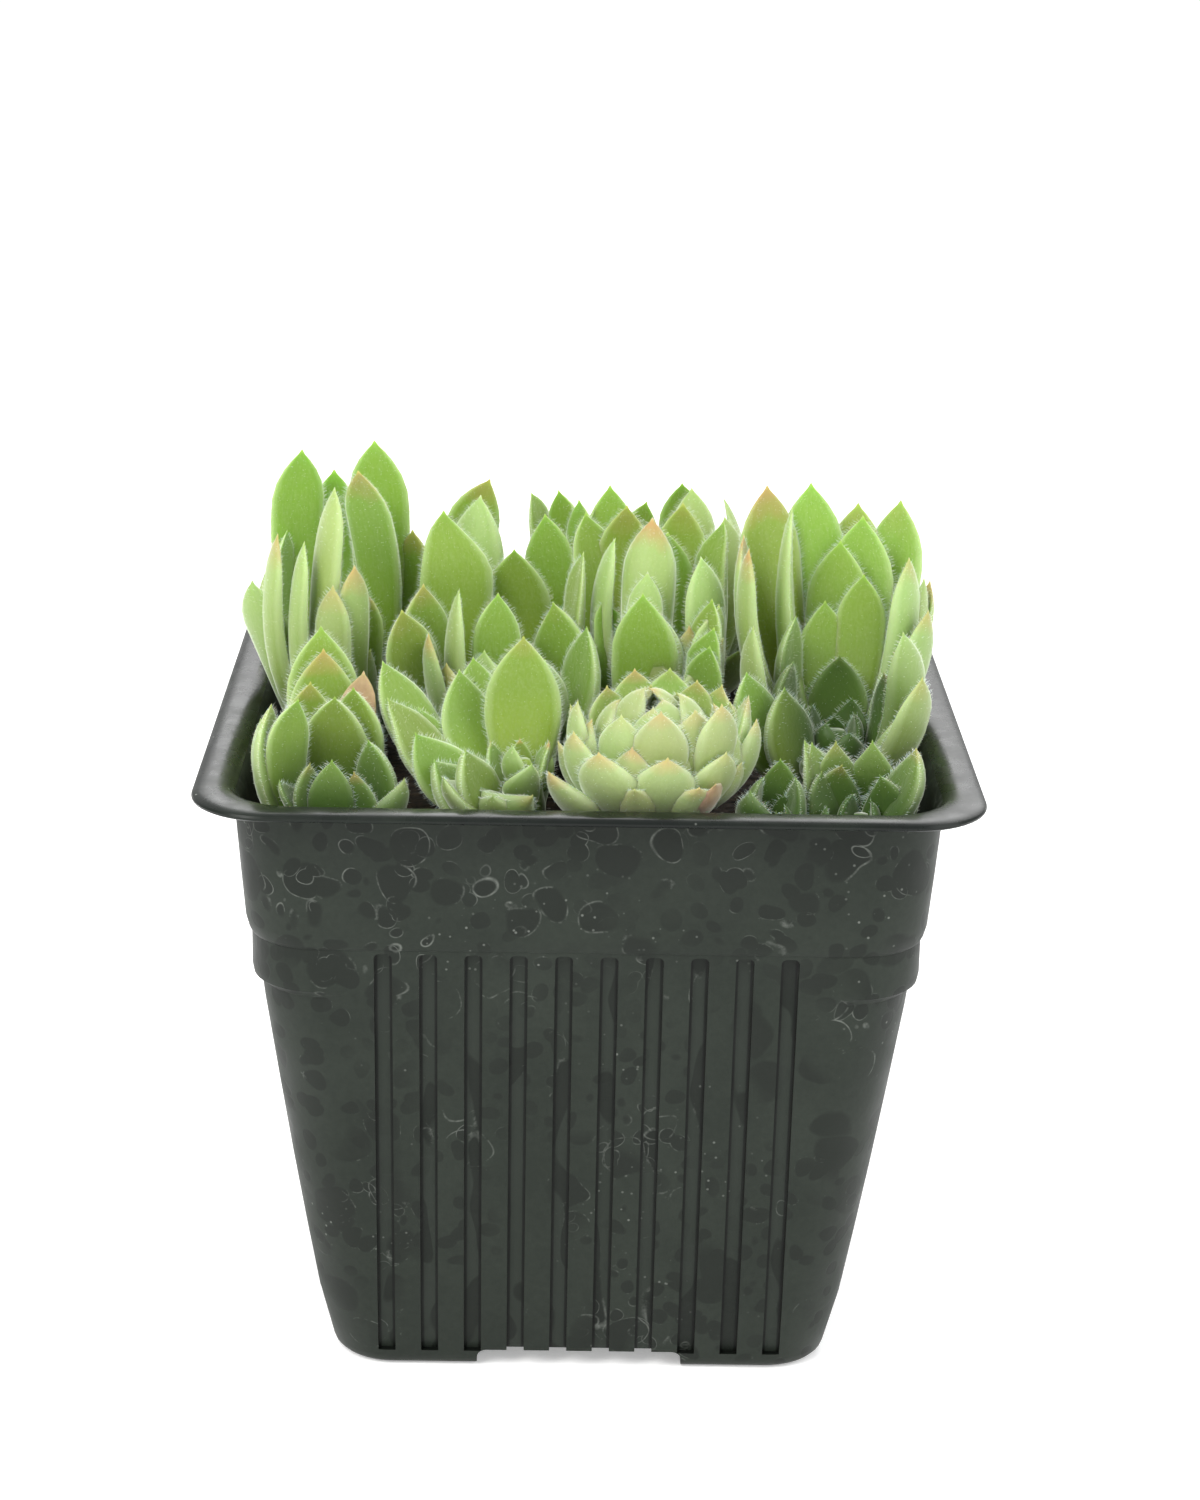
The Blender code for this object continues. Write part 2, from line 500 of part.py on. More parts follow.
def placed_leaves(name, key):
    # The outer leaves that stand where the plant's outline needs them, and the withered ones
    plan = ROSETTES[name]
    draw = random.Random(plan["seed"] + 200)
    cx, cy = plan["centre"]
    for x, y, z, width, facing in plan[key]:
        tip = Vector((x, y, z))
        azimuth = math.radians(facing)
        reach = Vector((x - cx, y - cy, 0))
        outward = Vector((math.cos(azimuth), math.sin(azimuth), 0))
        toward = reach.normalized() if reach.length > 2.0 else outward
        root = Vector((cx, cy, plan["crown"] - LEAF_DROP)) + toward * plan["stem"] * draw.uniform(0.6, 0.9)
        root.z += draw.uniform(-0.4, 1.2)
        chord = tip - root
        mean = math.atan2(math.hypot(chord.x, chord.y), chord.z)
        yield dict(root=root, tip=tip, azimuth=azimuth, width=width, thick=0.36 * width + 0.6,
                   lean_root=min(math.radians(78), mean + math.radians(26)),
                   lean_tip=mean - math.radians(24), arch=plan["arch"], toward=toward)


def arch_start(leaf):
    # Where a leaf is widest and the pointed arch of its tip begins
    return 1 - min(0.6, leaf["arch"] * leaf["width"] / (leaf["tip"] - leaf["root"]).length)


def width_at(leaf, s):
    # Share of a leaf's full width
    shoulder = arch_start(leaf)
    if s < shoulder:
        return 0.38 + 0.62 * math.sin(s / shoulder * math.pi / 2) ** 1.35
    return max(0.0, 1 - ((s - shoulder) / (1 - shoulder)) ** 2.3)


def thickness_at(s):
    return max(0.0, 1 - s ** 3) ** 0.7 * (0.75 + 0.25 * min(1.0, s * 3))


def leaf_frame(leaf, s):
    # A point of the midrib, the way across the leaf and the way its upper face looks, on a cubic curve
    out = leaf["toward"]
    up = Vector((0, 0, 1))
    handle = 0.38 * (leaf["tip"] - leaf["root"]).length
    first = leaf["root"] + handle * (out * math.sin(leaf["lean_root"]) + up * math.cos(leaf["lean_root"]))
    second = leaf["tip"] - handle * (out * math.sin(leaf["lean_tip"]) + up * math.cos(leaf["lean_tip"]))
    a, b, c, d = leaf["root"], first, second, leaf["tip"]
    r = 1 - s
    point = a * r ** 3 + b * 3 * r * r * s + c * 3 * r * s * s + d * s ** 3
    along = ((b - a) * r * r + (c - b) * 2 * r * s + (d - c) * s * s).normalized()
    back = Vector((math.cos(leaf["azimuth"]), math.sin(leaf["azimuth"]), -0.15))
    face = -(back - along * back.dot(along)).normalized()
    return point, along.cross(face), face


def leaf_section(leaf, s):
    # Three corners round the midrib: edge, other edge, rounded back
    point, across, face = leaf_frame(leaf, s)
    half = max(0.3, leaf["width"] * width_at(leaf, s) / 2)
    depth = max(0.35, leaf["thick"] * thickness_at(s))
    upper = point + face * 0.15 * depth
    return [upper - across * half, upper + across * half, point - face * 0.85 * depth]


def clear_shifts(stops, rows, planes, slack):
    # The way each section moves so that the leaf clears every limit it crosses. It leans over from its
    # root, and its tip follows half way, as crowded leaves bend clear of each other.
    shifts = [Vector() for _ in rows]
    for _ in range(3):
        for normal, distance in planes:
            overs = [max(normal.dot(point) for point in row) + normal.dot(shift) - distance + slack
                     for row, shift in zip(rows, shifts)]
            if max(overs) <= 0:
                continue
            for i, s in enumerate(stops):
                push = 0.0
                for over, at in zip(overs, stops):
                    if over > 0:
                        push = max(push, over * (s / at if s < at else 1 - 0.5 * (s - at) / (1.001 - at)))
                shifts[i] -= normal * push
    return shifts


def add_leaf(name, leaf, planes, slack, collection):
    shoulder = arch_start(leaf)
    stops = (0.05, shoulder, 0.45 * shoulder + 0.55, 1.0)
    rows = [leaf_section(leaf, s) for s in stops[:-1]] + [[leaf["tip"]]]
    shifts = clear_shifts(stops, rows, planes, slack)
    rows = [[point + shift for point in row] for row, shift in zip(rows, shifts)]
    tip = rows.pop()[0]
    mesh = bmesh.new()
    rings = [[mesh.verts.new(point * MM) for point in row] for row in rows]
    for low, high in zip(rings, rings[1:]):
        for i in range(3):
            j = (i + 1) % 3
            mesh.faces.new((low[i], low[j], high[j], high[i]))
    end = mesh.verts.new(tip * MM)
    last = rings[-1]
    for i in range(3):
        mesh.faces.new((last[i], last[(i + 1) % 3], end))
    mesh.faces.new(rings[0][::-1])
    bmesh.ops.triangulate(mesh, faces=mesh.faces)
    bmesh.ops.recalc_face_normals(mesh, faces=mesh.faces)
    as_object(name, mesh, collection)


def make_rosette(name, collection, finish):
    plan = ROSETTES[name]
    x, y = plan["centre"]
    stem = plan["stem"]
    body = post(name, x, y, HOLE_BOTTOM + GAP, plan["crown"], stem, stem, collection)
    planes = cell_planes(name)
    draw = random.Random(plan["seed"] + 100)
    joined = helper_collection(f"{name}_leaves")
    heart_top = plan["crown"] + max(4.0, 0.75 * plan["inner"] * plan["length"])
    post(f"{name}_heart", x, y, plan["crown"] - 2, heart_top, stem * 0.8, stem * 0.3, joined)
    leaves = list(rule_leaves(name)) + list(placed_leaves(name, "leaves")) + list(placed_leaves(name, "dry"))
    for i, leaf in enumerate(leaves):
        add_leaf(f"{name}_leaf_{i}", leaf, planes, draw.uniform(0.0, 0.3), joined)
    boolean(body, "UNION", joined, "MANIFOLD")
    keep_outer_shell(body)
    body.data.materials.clear()
    body.data.materials.append(finish)
    return body


def main():
    for obj in list(bpy.data.objects):
        bpy.data.objects.remove(obj)
    collection = helper_collection("hens_and_chicks")
    plastic = material("pot_plastic", (0.042, 0.050, 0.042), 0.42)
    peat = material("potting_mix", (0.035, 0.024, 0.016), 0.95)
    leaf_green = material("leaf_green", (0.25, 0.42, 0.09), 0.55)
    leaf_pale = material("leaf_pale", (0.45, 0.55, 0.22), 0.55)
    make_pot(collection, plastic)
    make_soil(collection, peat)
    for name in ROSETTES:
        make_rosette(name, collection, leaf_pale if name == "chick_front" else leaf_green)


main()
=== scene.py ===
# Hens and chicks in a square nursery pot: the looks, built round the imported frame.
import math
import random

import bpy
import bmesh
from mathutils import Matrix, Vector


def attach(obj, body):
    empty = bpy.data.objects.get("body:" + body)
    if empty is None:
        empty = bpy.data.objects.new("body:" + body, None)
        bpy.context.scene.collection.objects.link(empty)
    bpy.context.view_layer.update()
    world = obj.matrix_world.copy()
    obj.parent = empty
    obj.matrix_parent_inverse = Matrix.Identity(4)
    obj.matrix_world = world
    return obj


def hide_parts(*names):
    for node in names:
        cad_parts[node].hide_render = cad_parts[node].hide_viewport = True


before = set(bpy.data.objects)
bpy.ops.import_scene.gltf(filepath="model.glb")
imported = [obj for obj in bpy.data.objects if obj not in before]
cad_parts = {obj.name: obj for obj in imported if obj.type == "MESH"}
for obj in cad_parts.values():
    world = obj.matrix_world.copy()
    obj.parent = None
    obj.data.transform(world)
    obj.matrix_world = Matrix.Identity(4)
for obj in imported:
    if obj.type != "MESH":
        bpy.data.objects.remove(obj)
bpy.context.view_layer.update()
mm = 0.001
print("frame loaded:", len(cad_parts), "nodes")


def intoScene(name, data):
    thing = bpy.data.objects.new(name, data)
    bpy.context.scene.collection.objects.link(thing)
    return thing


# Camera: where the photograph was taken from, in mm from the middle of the pot's foot

cameraSetup = {
    "place": (-4.3, -437.2, 219.1),
    "lookDown": 18.0,
    "turn": -0.79,
    "roll": 1.12,
    "lens": 80.13,      # on a 36 mm sensor along the picture's long side
}


def makeCamera(setup):
    down, turn, roll = (math.radians(setup[key]) for key in ("lookDown", "turn", "roll"))
    ahead = Vector((-math.sin(turn) * math.cos(down), math.cos(turn) * math.cos(down), -math.sin(down)))
    right = Vector((math.cos(turn), math.sin(turn), 0))
    up = right.cross(ahead)
    rolledRight = right * math.cos(roll) + up * math.sin(roll)
    rolledUp = up * math.cos(roll) - right * math.sin(roll)
    data = bpy.data.cameras.new("camera")
    data.lens = setup["lens"]
    data.sensor_width = 36
    data.sensor_fit = "AUTO"
    data.clip_start = 0.01
    camera = intoScene("camera", data)
    turned = Matrix((rolledRight, rolledUp, -ahead)).transposed().to_4x4()
    camera.matrix_world = Matrix.Translation(Vector(setup["place"]) * mm) @ turned
    bpy.context.scene.camera = camera


makeCamera(cameraSetup)


# Light and floor: a pale sweep and soft studio lamps

studio = {
    "floorSize": 40.0,
    "floorColour": (0.86, 0.86, 0.86),
    "floorGlow": 0.32,       # keeps the far floor as white as the sweep of a studio
    "worldColour": (1.0, 1.0, 1.0),
    "worldStrength": 0.85,
    "floorRoughness": 0.9,
    "aim": (0, 0, 0.08),
    # name: place (m), size (m), watts, colour
    "lamps": {
        "keyLamp": ((-0.45, -0.55, 0.75), 0.5, 7.5, (1.0, 0.99, 0.97)),
        "fillLamp": ((0.60, -0.40, 0.50), 0.6, 3.0, (0.98, 0.99, 1.0)),
        "backLamp": ((0.10, 0.65, 0.60), 0.6, 5.0, (1.0, 1.0, 1.0)),
    },
}


def makeStudio(setup):
    world = bpy.data.worlds.new("studio")
    world.use_nodes = True
    background = world.node_tree.nodes["Background"]
    background.inputs["Color"].default_value = (*setup["worldColour"], 1)
    background.inputs["Strength"].default_value = setup["worldStrength"]
    bpy.context.scene.world = world
    for name, (place, size, watts, colour) in setup["lamps"].items():
        lamp = bpy.data.lights.new(name, "AREA")
        lamp.size = size
        lamp.energy = watts
        lamp.color = colour
        holder = intoScene(name, lamp)
        aim = Vector(setup["aim"]) - Vector(place)
        holder.location = place
        holder.rotation_euler = aim.to_track_quat("-Z", "Y").to_euler()
    mesh = bmesh.new()
    bmesh.ops.create_grid(mesh, x_segments=8, y_segments=8, size=setup["floorSize"] / 2)
    data = bpy.data.meshes.new("floor")
    mesh.to_mesh(data)
    mesh.free()
    floor = intoScene("floor", data)
    paint = bpy.data.materials.new("floorPaint")
    paint.use_nodes = True
    shader = paint.node_tree.nodes["Principled BSDF"]
    shader.inputs["Base Color"].default_value = (*setup["floorColour"], 1)
    shader.inputs["Roughness"].default_value = setup["floorRoughness"]
    shader.inputs["Emission Color"].default_value = (1, 1, 1, 1)
    shader.inputs["Emission Strength"].default_value = setup["floorGlow"]
    data.materials.append(paint)


makeStudio(studio)
bpy.context.scene.view_settings.view_transform = "Standard"
print("camera, lamps and floor done")


# Node helpers, for short material functions

class Nodes:
    def __init__(self, name):
        self.material = bpy.data.materials.new(name)
        self.material.use_nodes = True
        self.tree = self.material.node_tree
        self.shader = self.tree.nodes["Principled BSDF"]

    def add(self, kind, settings=None, **inputs):
        node = self.tree.nodes.new(kind)
        for key, value in (settings or {}).items():
            setattr(node, key, value)
        for key, value in inputs.items():
            # i0, i1 and i2 are sockets by number, any other key is a socket's name
            socket = int(key[1:]) if key[1:].isdigit() else key.replace("_", " ")
            self.feed(node.inputs[socket], value)
        return node

    def feed(self, socket, value):
        if isinstance(value, bpy.types.NodeSocket):
            self.tree.links.new(value, socket)
        elif hasattr(socket.default_value, "__len__") and len(socket.default_value) == 4:
            socket.default_value = (*value, 1)
        else:
            socket.default_value = value

    def paint(self, sockets):
        for name, value in sockets.items():
            self.feed(self.shader.inputs[name], value)
        return self.material

    def maths(self, operation, a, b=0.0, clamp=False):
        return self.add("ShaderNodeMath", {"operation": operation, "use_clamp": clamp}, i0=a, i1=b).outputs[0]

    def times(self, a, b):
        return self.maths("MULTIPLY", a, b)

    def ramp(self, factor, stops):
        # stops: (place, value)
        node = self.add("ShaderNodeValToRGB", Fac=factor)
        band = node.color_ramp
        while len(band.elements) < len(stops):
            band.elements.new(0.5)
        for element, (place, value) in zip(band.elements, stops):
            element.position = place
            element.color = (value, value, value, 1)
        return node.outputs[0]

    def mix(self, factor, a, b):
        return self.add("ShaderNodeMix", {"data_type": "RGBA"}, i0=factor, i6=a, i7=b).outputs[2]

    def noise(self, scale, detail=3.0, vector=None, rough=0.5, output="Fac"):
        node = self.add("ShaderNodeTexNoise", Scale=scale, Detail=detail, Roughness=rough,
                        Vector=vector or self.place())
        return node.outputs[output]

    def cells(self, scale, vector=None):
        return self.add("ShaderNodeTexVoronoi", Scale=scale, Vector=vector or self.place()).outputs["Distance"]

    def spread(self, value, low, high):
        return self.add("ShaderNodeMapRange", Value=value, From_Min=low, From_Max=high).outputs[0]

    def attribute(self, name, output="Fac"):
        return self.add("ShaderNodeAttribute", {"attribute_name": name}).outputs[output]

    def place(self):
        if not hasattr(self, "coordinates"):
            self.coordinates = self.add("ShaderNodeTexCoord").outputs["Object"]
        return self.coordinates

    def height(self):
        return self.add("ShaderNodeSeparateXYZ", Vector=self.place()).outputs["Z"]

    def bump(self, height, strength, distance):
        return self.add("ShaderNodeBump", Strength=strength, Distance=distance, Height=height).outputs[0]


# Pot: thin dark moulded plastic, with ribs left between recessed channels

potShape = {
    "arcPoints": 14,         # round each corner
    # height, half width and corner radius, up the outside
    "body": [
        (0.0, 31.4, 7.0), (0.12, 32.2, 7.4), (0.45, 32.9, 7.8), (1.0, 33.35, 8.0), (1.8, 33.6, 8.05),
        (10.0, 35.4, 8.3), (20.0, 36.95, 8.5), (30.0, 38.45, 8.8), (42.0, 40.1, 8.9), (54.0, 41.7, 9.0),
        (62.6, 42.62, 9.0), (63.3, 42.72, 9.0), (63.7, 42.95, 9.0), (64.0, 43.3, 9.0), (64.5, 43.5, 9.0),
        (66.0, 43.85, 9.0), (73.0, 44.4, 9.0), (80.0, 44.9, 9.0), (81.6, 45.02, 9.0),
    ],
    # round the thin flat lip and over to the inner edge
    "rim": [
        (82.45, 45.1, 9.0), (82.95, 45.45, 9.1), (83.15, 46.1, 9.3), (83.25, 47.4, 9.6), (83.2, 48.7, 9.8),
        (83.15, 49.3, 9.9), (83.2, 49.7, 10.0), (83.4, 49.93, 10.0), (83.7, 50.0, 10.0), (83.97, 49.88, 10.0),
        (84.17, 49.55, 9.9), (84.28, 49.0, 9.8), (84.3, 48.2, 9.7), (84.27, 47.2, 9.5), (84.15, 46.5, 9.3),
        (83.95, 45.85, 9.1), (83.6, 45.25, 8.9), (83.15, 44.8, 8.6), (82.6, 44.4, 8.4),
    ],
    "inside": [
        (81.6, 43.95, 8.1), (78.0, 43.4, 7.6), (66.0, 42.1, 7.4), (57.0, 40.6, 7.4), (40.0, 38.05, 7.2),
        (20.0, 35.3, 6.8), (4.0, 32.6, 6.0),
    ],
    "channels": 10, "pitch": 5.75, "width": 2.3, "depth": 0.95, "low": 2.5, "high": 63.4, "endRadius": 0.7,
    "bends": (10.0, 20.0, 30.0, 42.0, 54.0),       # heights where the wall's slope changes
    "bodyTop": 62.0,                               # channels don't follow the step over this height
    "notchHalf": 13.8, "notchHeight": 2.7, "notchRadius": 1.3,
    "lugHalf": 43.15, "lugReach": 35.0, "lugFade": 5.0, "lugRadius": 9.0, "lugSink": 0.15,
    # height, and how far the lug has swelled out of the wall
    "lugSwell": [(56.7, 0.0), (57.3, 0.35), (58.0, 0.85), (59.1, 1.0), (64.2, 1.0)],
    "drainRadius": 3.5, "drainReach": 20.0, "rimFrom": 82.9,
}


def roundedSquare(half, radius, height, arcPoints):
    points = []
    for corner in range(4):
        turn = corner * math.pi / 2
        cx = math.copysign(half - radius, math.cos(turn + math.pi / 4))
        cy = math.copysign(half - radius, math.sin(turn + math.pi / 4))
        for i in range(arcPoints):
            angle = turn + (math.pi / 2) * i / (arcPoints - 1)
            points.append(Vector((cx + radius * math.cos(angle), cy + radius * math.sin(angle), height)) * mm)
    return points


def bridge(mesh, low, high):
    # the faces between two rings of as many points
    count = len(low)
    for i in range(count):
        j = (i + 1) % count
        mesh.faces.new((low[i], low[j], high[j], high[i]))


def loft(name, rings):
    mesh = bmesh.new()
    rows = [[mesh.verts.new(point) for point in ring] for ring in rings]
    for low, high in zip(rows, rows[1:]):
        bridge(mesh, low, high)
    mesh.faces.new(rows[0][::-1])
    mesh.faces.new(rows[-1])
    return looseObject(name, mesh)


def looseObject(name, mesh):
    bmesh.ops.recalc_face_normals(mesh, faces=mesh.faces)
    data = bpy.data.meshes.new(name)
    mesh.to_mesh(data)
    mesh.free()
    return bpy.data.objects.new(name, data)


def cutWith(target, operation, tools):
    # joins or cuts the target with all the tools at once, then drops them
    group = bpy.data.collections.new("tools")
    bpy.context.scene.collection.children.link(group)
    for tool in tools:
        group.objects.link(tool)
    if target.name not in bpy.context.scene.collection.objects:
        bpy.context.scene.collection.objects.link(target)
    modifier = target.modifiers.new("cut", "BOOLEAN")
    modifier.operation = operation
    modifier.operand_type = "COLLECTION"
    modifier.collection = group
    modifier.solver = "EXACT"
    graph = bpy.context.evaluated_depsgraph_get()
    data = bpy.data.meshes.new_from_object(target.evaluated_get(graph))
    target.modifiers.clear()
    target.data = data
    for tool in tools:
        bpy.data.objects.remove(tool)
    bpy.data.collections.remove(group)


def outsideAt(shape, height):
    for (low, a, _), (high, b, _) in zip(shape["body"], shape["body"][1:]):
        if low <= height <= high:
            return a + (b - a) * (height - low) / (high - low)
    return shape["body"][-1][1]


def halfOutline(low, middle, half, top, radius, steps):
    # a closed outline (along, height) with two rounded upper corners, from its right half
    outline = [(-half, low), (half, low)] + [(half, z) for z in middle]
    for i in range(steps + 1):
        angle = math.pi / 2 * i / steps
        outline.append((half - radius + radius * math.cos(angle), top - radius + radius * math.sin(angle)))
    return outline + [(-x, z) for x, z in reversed(outline[2:])]


def sideTool(outline, turn, offset, reaches):
    # the outline at two distances from the pot's axis, turned to one of its faces
    mesh = bmesh.new()
    c, s = math.cos(turn), math.sin(turn)
    rows = []
    for reachAt in reaches:
        row = []
        for x, z in outline:
            reach, along = reachAt(z), x + offset
            row.append(mesh.verts.new(Vector((reach * c - along * s, reach * s + along * c, z)) * mm))
        rows.append(row)
    mesh.faces.new(rows[0])
    mesh.faces.new(rows[1][::-1])
    bridge(mesh, rows[1], rows[0])
    return mesh


def channelTool(shape, turn, offset):
    # a strip that follows the sloping wall
    half = shape["width"] / 2
    outline = halfOutline(shape["low"], shape["bends"], half, shape["high"], shape["endRadius"], 4)
    mesh = sideTool(outline, turn, offset, (
        lambda z: outsideAt(shape, min(z, shape["bodyTop"])) - shape["depth"], lambda z: shape["lugHalf"] + 4))
    bmesh.ops.triangulate(mesh, faces=mesh.faces)
    return looseObject("channel", mesh)


def notchTool(shape, turn):
    # the gap between two feet, through the whole pot
    outline = halfOutline(-1, (), shape["notchHalf"], shape["notchHeight"], shape["notchRadius"], 5)
    return looseObject("notch", sideTool(outline, turn, 0, (lambda z: -60, lambda z: 60)))


def drainTool(shape, x, y):
    mesh = bmesh.new()
    radius = shape["drainRadius"] * mm
    bmesh.ops.create_cone(mesh, cap_ends=True, segments=32, radius1=radius, radius2=radius, depth=8 * mm)
    for vertex in mesh.verts:
        vertex.co += Vector((x, y, 3)) * mm
    return looseObject("drain", mesh)


def makeLugs(shape):
    # four corner swellings under the collar, faired into the wall all round
    rings = []
    for z, swell in shape["lugSwell"]:
        inner = outsideAt(shape, z) - shape["lugSink"]
        low, high = (withSidePoints(roundedSquare(half, shape["lugRadius"], z, shape["arcPoints"]), shape)
                     for half in (inner, shape["lugHalf"]))
        ring = []
        for near, far in zip(low, high):
            along = min(abs(far.x), abs(far.y)) / mm
            share = max(0.0, min(1.0, (along - shape["lugReach"] + shape["lugFade"]) / shape["lugFade"]))
            ring.append(near.lerp(far, swell * share * share * (3 - 2 * share)))
        rings.append(ring)
    return loft("lugs", rings)


def withSidePoints(ring, shape):
    # more points along the straight sides, where a lug fades out
    count, filled = len(ring) // 4, []
    for i, point in enumerate(ring):
        filled.append(point)
        if i % count == count - 1:
            after = ring[(i + 1) % len(ring)]
            span = (after - point).length / mm
            steps = [shape["lugFade"] * k / 5 for k in range(1, 6)]
            steps += [span - step for step in reversed(steps)]
            filled += [point.lerp(after, step / span) for step in steps]
    return filled


def makePot(shape, finish, rimFinish):
    rings = [roundedSquare(half, radius, z, shape["arcPoints"])
             for z, half, radius in shape["body"] + shape["rim"] + shape["inside"]]
    pot = loft("potShell", rings)
    cutWith(pot, "UNION", [makeLugs(shape)])
    middle = (shape["channels"] - 1) / 2
    cutWith(pot, "DIFFERENCE", [channelTool(shape, side * math.pi / 2, (i - middle) * shape["pitch"])
                                for side in range(4) for i in range(shape["channels"])])
    cutWith(pot, "DIFFERENCE", [notchTool(shape, 0)])
    cutWith(pot, "DIFFERENCE", [notchTool(shape, math.pi / 2)])
    reach = shape["drainReach"]
    cutWith(pot, "DIFFERENCE", [drainTool(shape, x, y) for x, y in
                                ((0, 0), (reach, 0), (-reach, 0), (0, reach), (0, -reach))])
    markChannels(pot, shape)
    pot.data.materials.clear()
    pot.data.materials.append(finish)
    pot.data.materials.append(rimFinish)
    for face in pot.data.polygons:
        face.material_index = 1 if face.center.z > shape["rimFrom"] * mm else 0
    pot.data.shade_smooth()
    pot.data.set_sharp_from_angle(angle=math.radians(30))
    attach(pot, "root")
    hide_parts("pot")


def markChannels(pot, shape):
    # Marks for the finish: the side walls of a channel, its floor, and how far a corner of the floor's faces is
    # from the floor's middle, from -1 to 1
    side = pot.data.attributes.new("channelSide", "FLOAT", "FACE")
    floor = pot.data.attributes.new("channelFloor", "FLOAT", "FACE")
    across = pot.data.attributes.new("channelAcross", "FLOAT", "CORNER")
    middle, pitch, half = (shape["channels"] - 1) / 2, shape["pitch"], shape["width"] / 2
    margin = 0.1
    for i, face in enumerate(pot.data.polygons):
        x, y, z = face.center / mm
        onSide = abs(x) > abs(y)
        out, along = (abs(x), y) if onSide else (abs(y), x)
        below = outsideAt(shape, z) - out
        if abs(along) > middle * pitch + half + margin or not 0.05 < below < 1.1:
            continue
        if not shape["low"] - margin < z < shape["high"] + margin:
            continue
        flat = abs(face.normal.x if onSide else face.normal.y)
        side.data[i].value = 1.0 if flat < 0.5 else 0.0
        floor.data[i].value = 1.0 if flat > 0.9 else 0.0
        axis = (round(along / pitch + middle) - middle) * pitch
        for corner in face.loop_indices:
            point = pot.data.vertices[pot.data.loops[corner].vertex_index].co / mm
            across.data[corner].value = ((point.y if onSide else point.x) - axis) / half


potLook = {
    "plastic": (0.011, 0.0155, 0.011),
    "pale": (0.018, 0.0235, 0.0175),
    # painted light for a channel's floor, against the shade of its recess
    "channel": (0.026, 0.033, 0.026),
    "patch": (0.0065, 0.009, 0.0065),
    # painted shade for the channels' side walls and the lines along their floors
    "deepShade": (0.004, 0.005, 0.004),
    "mark": (0.30, 0.32, 0.29),
    # painted dark reflection for the rim
    "rimDarkReflection": (0.006, 0.008, 0.007),
    # how much of each colour covers what is under it
    "patchShare": 0.75, "channelLightShare": 0.7, "wetShare": 0.7, "markShare": 0.40, "grooveShadeShare": 0.85,
    "collar": (0.055, 0.068),       # height in m where more dried drops begin, and where they are all there
    "warp": 0.0042,                 # how far a patch's edge wanders, in m
    "wetScale": (180.0, 180.0, 75.0),
    "rough": (0.42, 0.58), "specular": 0.2, "rimRough": (0.20, 0.38), "rimSpecular": 0.18,
}


